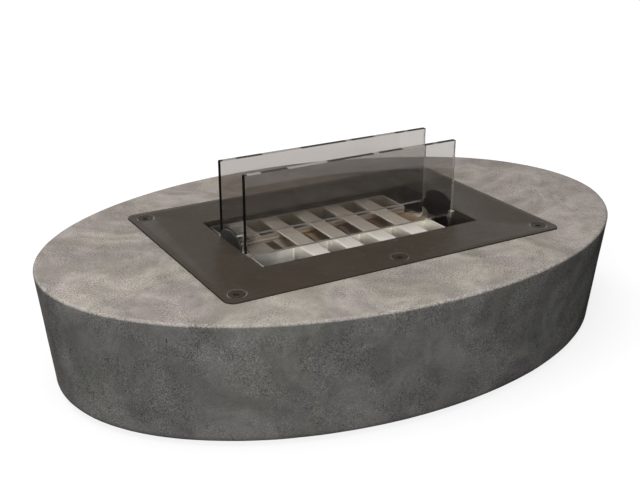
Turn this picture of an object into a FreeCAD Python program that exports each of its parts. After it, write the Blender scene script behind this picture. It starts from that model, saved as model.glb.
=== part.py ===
"""Tabletop fire pit: an oval concrete body with a steel cover plate, a closable burner and two panes.

Millimetres. +Z is up, +X runs along the panes and +Y points to the back.
The origin is the middle of the surface that the feet stand on.
"""
import FreeCAD, Part
import math
import os
import re
import Sketcher

# Driving dimensions: name, value and meaning
SIZES = (
    ("body_length", 603.0, "top of the concrete along X"),
    ("body_width", 404.0, "top of the concrete along Y"),
    ("base_length", 582.0, "foot of the concrete along X, above its rounded edge"),
    ("base_width", 381.0, "foot of the concrete along Y, above its rounded edge"),
    ("body_height", 117.0, "height of the concrete"),
    ("body_wall", 24.0, "side wall of the concrete under its top"),
    ("deck_thickness", 22.0, "top wall of the concrete"),
    ("top_edge_radius", 2.0, "rounding of the concrete's top edge"),
    ("foot_edge_radius", 10.0, "rounding of the concrete's foot"),
    ("foot_stand", 2.0, "gap under the concrete"),
    ("cover_length", 358.0, "cover plate along X"),
    ("cover_width", 243.0, "cover plate along Y"),
    ("cover_thickness", 3.0, "cover plate"),
    ("cover_proud", 1.0, "how far the plate stands out of the concrete"),
    ("cover_corner", 9.0, "corner radius of the plate"),
    ("cover_gap", 0.5, "gap between the plate and the concrete"),
    ("opening_width", 130.0, "opening in the plate along Y"),
    ("screw_span", 328.0, "cover screws, left to right"),
    ("screw_reach", 211.0, "cover screws, front to back"),
    ("screw_head", 17.0, "head diameter of a cover screw"),
    ("screw_thread", 8.0, "thread diameter of a cover screw"),
    ("screw_length", 17.0, "length of a cover screw"),
    ("screw_recess", 0.6, "how deep the head sits in its countersink"),
    ("socket_circle", 5.8, "circle round the hexagon socket"),
    ("socket_depth", 3.0, "depth of the hexagon socket"),
    ("insert_circle", 14.0, "circle round the six-sided insert of a cover screw"),
    ("insert_length", 13.0, "threaded insert for a cover screw"),
    ("insert_drop", 3.0, "insert's top below the plate"),
    ("well_wall", 1.5, "sheet of the well"),
    ("well_depth", 80.0, "well's floor below the plate's underside"),
    ("well_flange", 14.0, "flange round the well"),
    ("well_gap", 2.0, "gap between the well and the concrete"),
    ("rail_drop", 21.0, "rails' top below the plate's top"),
    ("rail_width", 9.0, "rails, outwards from the well's wall"),
    ("rail_height", 12.0, "rails, downwards"),
    ("rail_sheet", 1.5, "sheet of the rails"),
    ("rail_gap", 10.0, "gap between a rail's end and the well's end wall"),
    ("bar_drop", 5.0, "bars' top below the plate's top"),
    ("bar_sheet", 1.2, "sheet of a cross bar"),
    ("bar_depth", 15.0, "height of a bar's legs"),
    ("bar_tab", 4.0, "welding tab of a bar's leg"),
    ("bend_radius", 0.8, "inside radius of a bend in a bar or the frame"),
    ("burner_length", 200.0, "burner frame along X, inside"),
    ("left_pocket", 15.0, "pocket at the burner's left end, past the short bar"),
    ("left_room", 8.0, "well's left wall to the burner's left end"),
    ("right_room", 32.0, "burner's right end to the well's right wall, for the slide's tongue"),
    ("frame_sheet", 1.5, "sheet of the burner frame"),
    ("frame_gap", 1.0, "gap between the frame and the well"),
    ("tank_width", 42.0, "fuel tank along Y"),
    ("tank_sheet", 1.2, "sheet of the fuel tank"),
    ("tank_depth", 68.0, "height of the fuel tank"),
    ("lid_drop", 12.0, "tank cover's top below the plate's top"),
    ("lid_sheet", 1.2, "sheet of the tank cover"),
    ("window_inset", 0.75, "burner window inside the gap between two bars, each side"),
    ("window_width", 29.0, "burner window along Y"),
    ("wick_drop", 14.0, "wick's top below the tank cover"),
    ("slide_sheet", 1.0, "sheet of the closing slide"),
    ("slide_width", 34.0, "closing slide along Y"),
    ("slide_margin", 0.1, "how much longer a slide's window is than the travel"),
    ("tongue_width", 21.0, "slide's tongue along Y"),
    ("tongue_taper", 2.5, "slope from the slide's full width to its tongue, along X"),
    ("lip_height", 4.0, "lips folded down along the tongue"),
    ("lip_gap", 0.75, "gap between the lips and the frame with the slide shut"),
    ("end_gap", 0.25, "gap at either end of the slide's travel"),
    ("side_gap", 0.3, "running gap round the slide"),
    ("guide_lip", 1.2, "how far a guide's lip covers the slide"),
    ("guide_sheet", 1.0, "lip of a slide guide"),
    ("lug_length", 12.5, "finger lug along X"),
    ("lug_height", 12.5, "finger lug above the slide"),
    ("lug_setback", 6.0, "tongue's end to the finger lug"),
    ("lug_sheet", 1.2, "sheet of the finger lug"),
    ("lug_foot", 8.0, "foot of the finger lug along Y"),
    ("lug_hollow", 9.0, "radius of the hollow in the lug's left edge"),
    ("lug_waist", 8.0, "height of that hollow's middle above the slide"),
    ("lug_neck", 7.0, "width of the lug at its hollow"),
    ("lug_crown", 12.5, "radius of the lug's back, about the foot's left end"),
    ("rivet_shank", 2.0, "shank of the lug's rivet"),
    ("rivet_head", 4.0, "head of the lug's rivet"),
    ("rivet_cap", 1.0, "height of that head"),
    ("rivet_offset", 1.3, "the lug's rivet from the middle along Y"),
    ("cheek_width", 44.0, "cheek along Y"),
    ("cheek_crown", 36.0, "radius of the cheek's top"),
    ("cheek_rise", 12.5, "cheek's top above the plate"),
    ("cheek_fall", 58.0, "cheek's foot below the plate's top"),
    ("cheek_sheet", 1.5, "sheet of the cheek"),
    ("pin_diameter", 4.0, "thread of a cheek screw"),
    ("pin_head", 8.1, "circle round a cheek screw's six-sided head"),
    ("pin_cap", 2.8, "height of that head"),
    ("pin_rise", 24.0, "cheek's screw above the cheek's foot"),
    ("glass_end_gap", 2.7, "gap between a pane's end and the well's wall"),
    ("glass_thickness", 5.0, "pane along Y"),
    ("glass_rise", 74.0, "pane's top above the plate"),
    ("glass_pitch", 51.5, "distance between the panes' middles"),
    ("glass_edge", 0.5, "bevel of a pane's edges"),
    ("channel_leg", 2.6, "how far a channel reaches over the pane"),
    ("channel_drop", 1.0, "channel's top below the plate's top"),
    ("channel_fall", 20.0, "channel's foot below the plate's top"),
    ("channel_gap", 0.3, "gap between a pane and its channel"),
    ("rim_width", 6.0, "flat concrete rim outside the base panel"),
    ("rim_ledge", 6.0, "ledge that the base panel rests against"),
    ("panel_thickness", 3.0, "base panel"),
    ("panel_gap", 0.5, "gap between the base panel and the rim"),
    ("boss_side", 34.0, "side of a square boss under the concrete's top"),
    ("boss_reach_x", 166.0, "bosses and feet from the middle along X"),
    ("boss_reach_y", 100.0, "bosses and feet from the middle along Y"),
    ("foot_diameter", 30.0, "rubber foot"),
    ("foot_height", 7.0, "rubber foot"),
    ("foot_recess", 3.5, "depth of the foot's screw recess"),
    ("foot_bore", 12.0, "diameter of the foot's screw recess"),
    ("foot_screw", 5.0, "thread diameter of a foot screw"),
    ("foot_screw_head", 9.2, "circle round a foot screw's six-sided head"),
    ("foot_screw_height", 3.0, "head height of a foot screw"),
    ("foot_screw_length", 18.0, "length of a foot screw"),
    ("foot_insert_circle", 9.5, "circle round the six-sided insert of a foot screw"),
    ("foot_insert_length", 12.0, "length of a foot screw's insert"),
    ("overcut", 1.0, "how far a cutting shape stands out of what it cuts"),
)

# Counts, not sizes
WINDOWS = 5
BARS = WINDOWS - 1
EDGE_STEPS = 2

# Lengths under this count as none
TINY = 0.001

# Heights and edges worked out from the sizes
BASE_Z = "foot_stand"
DECK_Z = "(foot_stand + body_height)"
PLATE_TOP = "(foot_stand + body_height + cover_proud)"
PLATE_FLOOR = "(foot_stand + body_height + cover_proud - cover_thickness)"
BAR_TOP = f"({PLATE_TOP} - bar_drop)"
BAR_UNDER = f"({PLATE_TOP} - bar_drop - bar_sheet)"
RAIL_TOP = f"({PLATE_TOP} - rail_drop)"
LID_TOP = f"({PLATE_TOP} - lid_drop)"
LID_FLOOR = f"({PLATE_TOP} - lid_drop - lid_sheet)"
TANK_FLOOR = f"({BAR_UNDER} - tank_depth)"
PANEL_FLOOR = "foot_height"
PANEL_TOP = "(foot_height + panel_thickness)"
RIM_LENGTH = "(base_length - 2 * foot_edge_radius - 2 * rim_width)"
RIM_WIDTH = "(base_width - 2 * foot_edge_radius - 2 * rim_width)"
OPENING_LENGTH = "(left_room + burner_length + right_room)"
BURNER_RIGHT = f"({OPENING_LENGTH} / 2 - right_room)"
BURNER_LEFT = f"({BURNER_RIGHT} - burner_length)"
BAR_PITCH = f"((burner_length - left_pocket) / {WINDOWS})"
BAR_WIDTH = f"({BAR_PITCH} / 2)"
SLIDE_TRAVEL = BAR_WIDTH
GLASS_LENGTH = f"({OPENING_LENGTH} - 2 * glass_end_gap)"
LAST_GAP = f"({BURNER_RIGHT} - {BAR_WIDTH} / 2)"
FIRST_GAP = f"({LAST_GAP} - {WINDOWS - 1} * {BAR_PITCH})"
CHEEK_INNER = f"({OPENING_LENGTH} / 2 - cheek_sheet)"
PIN_Z = f"({PLATE_TOP} - cheek_fall + pin_rise)"
SLIDE_RIGHT = f"({CHEEK_INNER} - end_gap - {SLIDE_TRAVEL} / 2)"
SLIDE_LEFT = f"({BURNER_LEFT} + tank_sheet + end_gap + {SLIDE_TRAVEL} / 2)"
SLIDE_TOP = f"({LID_TOP} + slide_sheet)"
LIP_LEFT = f"({BURNER_RIGHT} + frame_sheet + lip_gap + {SLIDE_TRAVEL} / 2)"
LUG_RIGHT = f"({SLIDE_RIGHT} - lug_setback)"
LUG_LEFT = f"({LUG_RIGHT} - lug_length)"
RIVET_X = f"({LUG_LEFT} + lug_length / 2)"


def sized(rule):
    """Points the plain words of a rule at the sheet's aliases."""
    return re.sub(r"[a-z][a-z_]+", lambda word: "Sizes." + word.group(), rule)


def bind(thing, rules):
    """Ties properties of one object to rules made of the sheet's names."""
    for path, rule in rules.items():
        thing.setExpression(path, sized(rule))


def make_sheet(doc):
    """Writes the driving dimensions into the document's spreadsheet."""
    sheet = doc.addObject("Spreadsheet::Sheet", "Sizes")
    for row, (alias, value, meaning) in enumerate(SIZES, 1):
        sheet.set(f"A{row}", meaning)
        sheet.set(f"B{row}", str(value))
        sheet.setAlias(f"B{row}", alias)
    doc.recompute()
    return sheet


# Sketches

def sketch_on(body, role, height="0 * foot_stand"):
    """A sketch on one of the body's own planes, moved along that plane's normal."""
    plane = next(item for item in body.Origin.OriginFeatures if item.Role == role)
    sketch = body.newObject("Sketcher::SketchObject", body.Name + "_sketch")
    sketch.AttachmentSupport = [(plane, "")]
    sketch.MapMode = "FlatFace"
    bind(sketch, {".AttachmentOffset.Base.z": height})
    return sketch


def fix_point(sketch, line, end, across, up):
    """Holds one point of the sketch at two signed distances from its origin."""
    for kind, rule in (("DistanceX", across), ("DistanceY", up)):
        index = sketch.addConstraint(Sketcher.Constraint(kind, -1, 1, line, end, 1.0))
        bind(sketch, {f"Constraints[{index}]": rule})


def outline(sketch, corners):
    """A closed outline of straight lines through corners given as pairs of rules."""
    first = sketch.GeometryCount
    count = len(corners)
    turn = 2 * math.pi / count
    ring = [FreeCAD.Vector(9 * math.cos(i * turn), 9 * math.sin(i * turn), 0) for i in range(count)]
    for i in range(count):
        sketch.addGeometry(Part.LineSegment(ring[i], ring[(i + 1) % count]), False)
    for i in range(count):
        sketch.addConstraint(Sketcher.Constraint("Coincident", first + i, 2, first + (i + 1) % count, 1))
    for i, (across, up) in enumerate(corners):
        fix_point(sketch, first + i, 1, across, up)
    return sketch


def rectangle(sketch, across, up):
    """A rectangle between a low and a high rule each way."""
    return outline(sketch, [(across[0], up[0]), (across[1], up[0]), (across[1], up[1]), (across[0], up[1])])


def centred(width):
    """The low and the high rule of a width about the middle."""
    return f"-({width}) / 2", f"({width}) / 2"


def circle(sketch, diameter, across, up):
    """A circle whose middle is held at two signed distances."""
    index = sketch.addGeometry(Part.Circle(FreeCAD.Vector(1, 1, 0), FreeCAD.Vector(0, 0, 1), 2), False)
    fix_point(sketch, index, 3, across, up)
    size = sketch.addConstraint(Sketcher.Constraint("Diameter", index, 4.0))
    bind(sketch, {f"Constraints[{size}]": diameter})
    return sketch


# Features

def new_body(doc, label):
    """One sub-part made of sketches and features."""
    body = doc.addObject("PartDesign::Body", label)
    body.Label = label
    return body


def pad(body, sketch, length, both_sides=False):
    """Material along the sketch's normal."""
    feature = body.newObject("PartDesign::Pad", body.Name + "_pad")
    feature.Profile = sketch
    if both_sides:
        feature.SideType = "Symmetric"
    bind(feature, {"Length": length})
    body.Document.recompute()
    return feature


def pocket(body, sketch, length, towards_normal=False, both_sides=False):
    """A cut against the sketch's normal, or along it, that has to take material away."""
    before = body.Shape.Volume
    feature = body.newObject("PartDesign::Pocket", body.Name + "_pocket")
    feature.Profile = sketch
    feature.Reversed = towards_normal
    if both_sides:
        feature.SideType = "Symmetric"
    bind(feature, {"Length": length})
    body.Document.recompute()
    if body.Shape.Volume > before - TINY:
        raise ValueError(f"{feature.Name} cuts nothing")
    return feature


def row_of(body, feature, sketch, length, count):
    """Repeats a feature along the sketch's first axis."""
    pattern = body.newObject("PartDesign::LinearPattern", body.Name + "_row")
    pattern.Originals = [feature]
    pattern.Direction = (sketch, ["H_Axis"])
    pattern.Occurrences = count
    bind(pattern, {"Length": length})
    body.Tip = pattern
    body.Document.recompute()
    return pattern


def upright_edges(shape, reach=None):
    """Names of the upright edges, or only of those at one distance from the middle along Y."""
    names = []
    for index, edge in enumerate(shape.Edges, 1):
        bounds = edge.BoundBox
        upright = bounds.XLength < TINY and bounds.YLength < TINY
        if upright and (reach is None or abs(abs(bounds.YMin) - reach) < TINY):
            names.append(f"Edge{index}")
    return names


def edges_along_y(shape, height):
    """Names of the edges that run along Y at one height."""
    names = []
    for index, edge in enumerate(shape.Edges, 1):
        bounds = edge.BoundBox
        if bounds.XLength < TINY and bounds.ZLength < TINY and abs(bounds.ZMin - height) < TINY:
            names.append(f"Edge{index}")
    return names


def round_edges(body, feature, names, radius):
    """Rounds the named edges of a feature."""
    rounding = body.newObject("PartDesign::Fillet", body.Name + "_rounding")
    rounding.Base = (feature, names)
    bind(rounding, {"Radius": radius})
    body.Document.recompute()
    return rounding


def bevel_edges(body, feature, names, size):
    """Bevels the named edges of a feature."""
    bevel = body.newObject("PartDesign::Chamfer", body.Name + "_bevel")
    bevel.Base = (feature, names)
    bind(bevel, {"Size": size})
    body.Document.recompute()
    return bevel


# Primitives

def box(doc, name, across, deep, up):
    """A box between a low and a high rule each way."""
    made = doc.addObject("Part::Box", name)
    bind(made, {
        "Length": f"{across[1]} - ({across[0]})",
        "Width": f"{deep[1]} - ({deep[0]})",
        "Height": f"{up[1]} - ({up[0]})",
        ".Placement.Base.x": across[0],
        ".Placement.Base.y": deep[0],
        ".Placement.Base.z": up[0],
    })
    return made


def cylinder(doc, name, diameter, foot, height):
    """An upright cylinder on a point given as three rules."""
    made = doc.addObject("Part::Cylinder", name)
    bind(made, {
        "Radius": f"({diameter}) / 2",
        "Height": height,
        ".Placement.Base.x": foot[0],
        ".Placement.Base.y": foot[1],
        ".Placement.Base.z": foot[2],
    })
    return made


def cone(doc, name, low_diameter, high_diameter, foot, height):
    """An upright cone on a point given as three rules."""
    made = doc.addObject("Part::Cone", name)
    bind(made, {
        "Radius1": f"({low_diameter}) / 2",
        "Radius2": f"({high_diameter}) / 2",
        "Height": height,
        ".Placement.Base.x": foot[0],
        ".Placement.Base.y": foot[1],
        ".Placement.Base.z": foot[2],
    })
    return made


def hexagon(doc, name, circle_size, foot, height):
    """An upright six-sided prism."""
    made = doc.addObject("Part::Prism", name)
    made.Polygon = 6
    bind(made, {
        "Circumradius": f"({circle_size}) / 2",
        "Height": height,
        ".Placement.Base.x": foot[0],
        ".Placement.Base.y": foot[1],
        ".Placement.Base.z": foot[2],
    })
    return made


def fuse(doc, name, pieces):
    """Several shapes as one."""
    made = doc.addObject("Part::MultiFuse", name)
    made.Shapes = pieces
    made.Refine = True
    return made


def cut(doc, name, base, tool):
    """One shape without another."""
    made = doc.addObject("Part::Cut", name)
    made.Base = base
    made.Tool = tool
    made.Refine = True
    return made


def common(doc, name, base, tool):
    """What two shapes share."""
    made = doc.addObject("Part::Common", name)
    made.Base = base
    made.Tool = tool
    return made


def group(doc, label, pieces):
    """Identical fasteners as one sub-part of separate solids."""
    made = doc.addObject("Part::Compound", label)
    made.Links = pieces
    made.Label = label
    return made


def oval_block(doc, name, rings):
    """A block through ovals from low to high, each given as its length, width and height."""
    ovals = []
    for index, (length, width, height) in enumerate(rings):
        oval = doc.addObject("Part::Ellipse", f"{name}_oval_{index}")
        bind(oval, {
            "MajorRadius": f"({length}) / 2",
            "MinorRadius": f"({width}) / 2",
            ".Placement.Base.z": height,
        })
        ovals.append(oval)
    block = doc.addObject("Part::Loft", name)
    block.Sections = ovals
    block.Solid = True
    block.Ruled = True
    return block


# Concrete

def boss_places():
    """Middles of the four bosses, with the name of each corner."""
    names = {(-1, -1): "front_left", (1, -1): "front_right", (-1, 1): "rear_left", (1, 1): "rear_right"}
    return [(name, (f"{sx} * boss_reach_x", f"{sy} * boss_reach_y")) for (sx, sy), name in names.items()]


def screw_places():
    """Middles of the six cover screws."""
    return [(f"{i} * screw_span / 2", f"{j} * screw_reach / 2") for i in (-1, 0, 1) for j in (-1, 1)]


def outer_rings():
    """Ovals of the outside from low to high: a rounded foot, a sloping side and a rounded top edge."""
    turns = [math.radians(90 * step / EDGE_STEPS) for step in range(EDGE_STEPS + 1)]
    rings = []
    for turn in reversed(turns):
        inwards = f"{2 * (1 - math.cos(turn)):.6f} * foot_edge_radius"
        up = f"{1 - math.sin(turn):.6f} * foot_edge_radius"
        rings.append((f"base_length - {inwards}", f"base_width - {inwards}", f"({BASE_Z} + {up})"))
    for turn in turns:
        inwards = f"{2 * (1 - math.cos(turn)):.6f} * top_edge_radius"
        down = f"{1 - math.sin(turn):.6f} * top_edge_radius"
        rings.append((f"body_length - {inwards}", f"body_width - {inwards}", f"({DECK_Z} - {down})"))
    return rings


def concrete_body(doc):
    """The oval shell, open below, with its deck, bosses and the seats for the steel parts."""
    outside = oval_block(doc, "outside", outer_rings())
    cavity = oval_block(doc, "cavity", [
        (f"{RIM_LENGTH} - 2 * rim_ledge", f"{RIM_WIDTH} - 2 * rim_ledge", BASE_Z),
        ("body_length - 2 * body_wall", "body_width - 2 * body_wall", f"{DECK_Z} - deck_thickness"),
    ])
    rim = oval_block(doc, "rim_recess", [
        (RIM_LENGTH, RIM_WIDTH, BASE_Z),
        (RIM_LENGTH, RIM_WIDTH, PANEL_TOP),
    ])
    shell = cut(doc, "shell", outside, fuse(doc, "inside", [cavity, rim]))
    tall = (PANEL_TOP, f"({DECK_Z} - deck_thickness)")
    bosses = [box(doc, f"boss_{name}", (f"{x} - boss_side / 2", f"{x} + boss_side / 2"),
                  (f"{y} - boss_side / 2", f"{y} + boss_side / 2"), tall) for name, (x, y) in boss_places()]
    full = fuse(doc, "shell_and_bosses", [shell] + bosses)
    seat = new_body(doc, "plate_seat")
    seat_sketch = rectangle(sketch_on(seat, "XY_Plane", PLATE_FLOOR),
                            centred("cover_length + 2 * cover_gap"), centred("cover_width + 2 * cover_gap"))
    block = pad(seat, seat_sketch, "cover_thickness + overcut")
    round_edges(seat, block, upright_edges(block.Shape), "cover_corner + cover_gap")
    flange_seat = box(doc, "flange_seat",
                      centred(f"{OPENING_LENGTH} + 2 * well_wall + 2 * well_flange + 2 * cover_gap"),
                      centred("opening_width + 2 * well_wall + 2 * well_flange + 2 * cover_gap"),
                      (f"{PLATE_FLOOR} - well_wall", f"{DECK_Z}"))
    hole = box(doc, "well_hole", centred(f"{OPENING_LENGTH} + 2 * well_wall + 2 * well_gap"),
               centred("opening_width + 2 * well_wall + 2 * well_gap"), (PANEL_TOP, f"{DECK_Z}"))
    low = f"{PLATE_FLOOR} - screw_length"
    holes = [hexagon(doc, f"cover_insert_hole_{i}", "insert_circle", (x, y, low), "screw_length + overcut")
             for i, (x, y) in enumerate(screw_places())]
    below = f"{PANEL_TOP} - overcut"
    holes += [hexagon(doc, f"foot_insert_hole_{name}", "foot_insert_circle", (x, y, below),
                      "foot_screw_length + overcut") for name, (x, y) in boss_places()]
    made = cut(doc, "concrete_body", full, fuse(doc, "seats_and_holes", [seat, flange_seat, hole] + holes))
    made.Label = "concrete_body"
    return made


def foot_inserts(doc):
    """Six-sided brass inserts in the bosses, which can't turn in the concrete."""
    pieces = []
    for name, (x, y) in boss_places():
        sleeve = hexagon(doc, f"foot_sleeve_{name}", "foot_insert_circle", (x, y, PANEL_TOP),
                         "foot_insert_length")
        thread = hexagon(doc, f"foot_thread_{name}", "foot_screw", (x, y, f"{PANEL_TOP} - overcut"),
                         "foot_insert_length + 2 * overcut")
        pieces.append(cut(doc, f"foot_insert_{name}", sleeve, thread))
    return group(doc, "foot_inserts", pieces)


# Underside

def base_panel(doc):
    """The oval panel that closes the shell from below."""
    length, width = [f"{size} - 2 * panel_gap" for size in (RIM_LENGTH, RIM_WIDTH)]
    panel = oval_block(doc, "panel_blank", [(length, width, PANEL_FLOOR), (length, width, PANEL_TOP)])
    holes = [cylinder(doc, f"panel_hole_{name}", "foot_screw", (x, y, f"{PANEL_FLOOR} - overcut"),
                      "panel_thickness + 2 * overcut") for name, (x, y) in boss_places()]
    made = cut(doc, "base_panel", panel, fuse(doc, "panel_holes", holes))
    made.Label = "base_panel"
    return made


def rubber_foot(doc, name, x, y):
    """A round foot with a recess for its screw."""
    foot = new_body(doc, f"foot_{name}")
    disc = circle(sketch_on(foot, "XY_Plane"), "foot_diameter", x, y)
    pad(foot, disc, "foot_height")
    recess = circle(sketch_on(foot, "XY_Plane"), "foot_bore", x, y)
    pocket(foot, recess, "foot_recess", towards_normal=True)
    bore = circle(sketch_on(foot, "XY_Plane"), "foot_screw", x, y)
    pocket(foot, bore, "foot_height", towards_normal=True)
    return foot


def rubber_feet(doc):
    """Four round feet."""
    return group(doc, "rubber_feet", [rubber_foot(doc, name, x, y) for name, (x, y) in boss_places()])


def foot_screws(doc):
    """Six-sided screws up through the feet and the panel into the bosses."""
    pieces = []
    for name, (x, y) in boss_places():
        low = "foot_recess - foot_screw_height"
        head = hexagon(doc, f"foot_screw_head_{name}", "foot_screw_head", (x, y, low), "foot_screw_height")
        shank = hexagon(doc, f"foot_screw_shank_{name}", "foot_screw", (x, y, "foot_recess"),
                        "foot_screw_length")
        pieces.append(fuse(doc, f"foot_screw_{name}", [head, shank]))
    return group(doc, "foot_screws", pieces)


# Cover

def cover_plate(doc):
    """The plate with its opening and six countersunk holes."""
    plate = new_body(doc, "cover_plate")
    face = rectangle(sketch_on(plate, "XY_Plane", PLATE_FLOOR), centred("cover_length"),
                     centred("cover_width"))
    blank = pad(plate, face, "cover_thickness")
    round_edges(plate, blank, upright_edges(blank.Shape), "cover_corner")
    opening = rectangle(sketch_on(plate, "XY_Plane", PLATE_TOP), centred(OPENING_LENGTH),
                        centred("opening_width"))
    pocket(plate, opening, "cover_thickness")
    middles = sketch_on(plate, "XY_Plane", PLATE_TOP)
    for x, y in screw_places():
        circle(middles, "screw_thread", x, y)
    doc.recompute()
    holes = plate.newObject("PartDesign::Hole", "cover_holes")
    holes.Profile = middles
    holes.HoleCutType = "Countersink"
    holes.DepthType = "ThroughAll"
    holes.HoleCutCustomValues = True
    holes.HoleCutCountersinkAngle = 90
    bind(holes, {"Diameter": "screw_thread", "HoleCutDiameter": "screw_head + 2 * screw_recess"})
    doc.recompute()
    return plate


def cover_screws(doc):
    """Countersunk screws with hexagon sockets."""
    head_top = f"({PLATE_TOP} - screw_recess)"
    head_height = "((screw_head - screw_thread) / 2)"
    pieces = []
    for i, (x, y) in enumerate(screw_places()):
        head = cone(doc, f"cover_screw_head_{i}", "screw_thread", "screw_head",
                    (x, y, f"{head_top} - {head_height}"), head_height)
        shank = hexagon(doc, f"cover_screw_shank_{i}", "screw_thread",
                        (x, y, f"{head_top} - screw_length"), f"screw_length - {head_height}")
        socket = hexagon(doc, f"cover_screw_socket_{i}", "socket_circle",
                         (x, y, f"{head_top} - socket_depth"), "socket_depth + overcut")
        solid = fuse(doc, f"cover_screw_solid_{i}", [head, shank])
        pieces.append(cut(doc, f"cover_screw_{i}", solid, socket))
    return group(doc, "cover_screws", pieces)


def cover_inserts(doc):
    """Six-sided threaded inserts cast into the deck."""
    low = f"{PLATE_FLOOR} - insert_drop - insert_length"
    pieces = []
    for i, (x, y) in enumerate(screw_places()):
        sleeve = hexagon(doc, f"cover_sleeve_{i}", "insert_circle", (x, y, low), "insert_length")
        thread = hexagon(doc, f"cover_thread_{i}", "screw_thread", (x, y, f"{low} - overcut"),
                         "insert_length + 2 * overcut")
        pieces.append(cut(doc, f"cover_insert_{i}", sleeve, thread))
    return group(doc, "cover_inserts", pieces)


# Well

def burner_well(doc):
    """The sheet box under the opening, with its flange and a hole for each cheek's screw."""
    well = new_body(doc, "burner_well")
    flange = rectangle(sketch_on(well, "XY_Plane", f"{PLATE_FLOOR} - well_wall"),
                       centred(f"{OPENING_LENGTH} + 2 * well_wall + 2 * well_flange"),
                       centred("opening_width + 2 * well_wall + 2 * well_flange"))
    pad(well, flange, "well_wall")
    block = rectangle(sketch_on(well, "XY_Plane", f"{PLATE_FLOOR} - well_depth - well_wall"),
                      centred(f"{OPENING_LENGTH} + 2 * well_wall"),
                      centred("opening_width + 2 * well_wall"))
    pad(well, block, "well_depth")
    inside = rectangle(sketch_on(well, "XY_Plane", PLATE_FLOOR), centred(OPENING_LENGTH),
                       centred("opening_width"))
    pocket(well, inside, "well_depth")
    pins = circle(sketch_on(well, "YZ_Plane"), "pin_diameter", "0 * pin_diameter", PIN_Z)
    pocket(well, pins, f"{OPENING_LENGTH} + 2 * well_wall + 2 * overcut", both_sides=True)
    return well


def rail(doc, label, side):
    """An angle rail on the well's front or back wall, side being -1 or 1."""
    wall = f"{side} * opening_width / 2"
    inner = f"{side} * (opening_width / 2 - rail_width)"
    skin = f"{side} * (opening_width / 2 - rail_sheet)"
    made = new_body(doc, label)
    profile = sketch_on(made, "YZ_Plane")
    outline(profile, [
        (wall, RAIL_TOP),
        (inner, RAIL_TOP),
        (inner, f"{RAIL_TOP} - rail_sheet"),
        (skin, f"{RAIL_TOP} - rail_sheet"),
        (skin, f"{RAIL_TOP} - rail_height"),
        (wall, f"{RAIL_TOP} - rail_height"),
    ])
    pad(made, profile, f"{OPENING_LENGTH} - 2 * rail_gap", both_sides=True)
    return made


# Burner

def burner_frame(doc, sheet):
    """The ring of sheet that carries the bars, notched at the right for the slide."""
    frame = new_body(doc, "burner_frame")
    half = "(opening_width / 2 - frame_gap)"
    low = sketch_on(frame, "XY_Plane", RAIL_TOP)
    rectangle(low, (f"{BURNER_LEFT} - frame_sheet", f"{BURNER_RIGHT} + frame_sheet"), (f"-{half}", half))
    block = pad(frame, low, "rail_drop - bar_drop")
    round_edges(frame, block, upright_edges(block.Shape), "bend_radius + frame_sheet")
    inside = sketch_on(frame, "XY_Plane", BAR_TOP)
    rectangle(inside, (BURNER_LEFT, BURNER_RIGHT), (f"-{half} + frame_sheet", f"{half} - frame_sheet"))
    ring = pocket(frame, inside, "rail_drop - bar_drop")
    corner = sheet.opening_width / 2 - sheet.frame_gap - sheet.frame_sheet
    round_edges(frame, ring, upright_edges(ring.Shape, corner), "bend_radius")
    notch = sketch_on(frame, "XY_Plane", BAR_TOP)
    rectangle(notch, (f"{BURNER_RIGHT} - overcut", f"{BURNER_RIGHT} + frame_sheet + overcut"),
              centred("tank_width - 2 * tank_sheet"))
    pocket(frame, notch, "lid_drop + lid_sheet - bar_drop")
    return frame


def bar_profile(sketch, middle):
    """The channel section of a bar: a flat top and two legs."""
    left = f"{middle} - {BAR_WIDTH} / 2"
    right = f"{middle} + {BAR_WIDTH} / 2"
    foot = f"{BAR_TOP} - bar_depth"
    return outline(sketch, [
        (left, foot),
        (f"{left} + bar_sheet", foot),
        (f"{left} + bar_sheet", BAR_UNDER),
        (f"{right} - bar_sheet", BAR_UNDER),
        (f"{right} - bar_sheet", foot),
        (right, foot),
        (right, BAR_TOP),
        (left, BAR_TOP),
    ])


def bend_bar(body, blank, sheet):
    """Rounds the two bends of a bar, outside and inside."""
    top = blank.Shape.BoundBox.ZMax
    outside = round_edges(body, blank, edges_along_y(blank.Shape, top), "bend_radius + bar_sheet")
    inside = edges_along_y(outside.Shape, top - sheet.bar_sheet)
    round_edges(body, outside, inside, "bend_radius")


def bar_tabs(body, middle, side):
    """Welding tabs where a bar's legs meet the tank's wall, side being -1 or 1."""
    face = f"{side} * tank_width / 2"
    out = f"{side} * (tank_width / 2 + bar_sheet)"
    deep = (out, face) if side < 0 else (face, out)
    for across in ((f"{middle} - {BAR_WIDTH} / 2 - bar_tab", f"{middle} - {BAR_WIDTH} / 2 + bar_sheet"),
                   (f"{middle} + {BAR_WIDTH} / 2 - bar_sheet", f"{middle} + {BAR_WIDTH} / 2 + bar_tab")):
        tab = rectangle(sketch_on(body, "XY_Plane", f"{BAR_TOP} - bar_depth"), across, deep)
        pad(body, tab, "bar_depth - bend_radius - bar_sheet")


def cross_bar(doc, sheet, index):
    """A bar right across the burner, its legs cut away over the tank."""
    bar = new_body(doc, f"cross_bar_{index + 1}")
    middle = f"({FIRST_GAP} + {index + 0.5} * {BAR_PITCH})"
    profile = bar_profile(sketch_on(bar, "XZ_Plane"), middle)
    blank = pad(bar, profile, "opening_width - 2 * frame_gap - 2 * frame_sheet", both_sides=True)
    bend_bar(bar, blank, sheet)
    gap = sketch_on(bar, "YZ_Plane", middle)
    rectangle(gap, centred("tank_width"), (f"{BAR_TOP} - bar_depth - overcut", BAR_UNDER))
    pocket(bar, gap, f"{BAR_WIDTH} + 2 * overcut", both_sides=True)
    bar_tabs(bar, middle, -1)
    bar_tabs(bar, middle, 1)
    return bar


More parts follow.
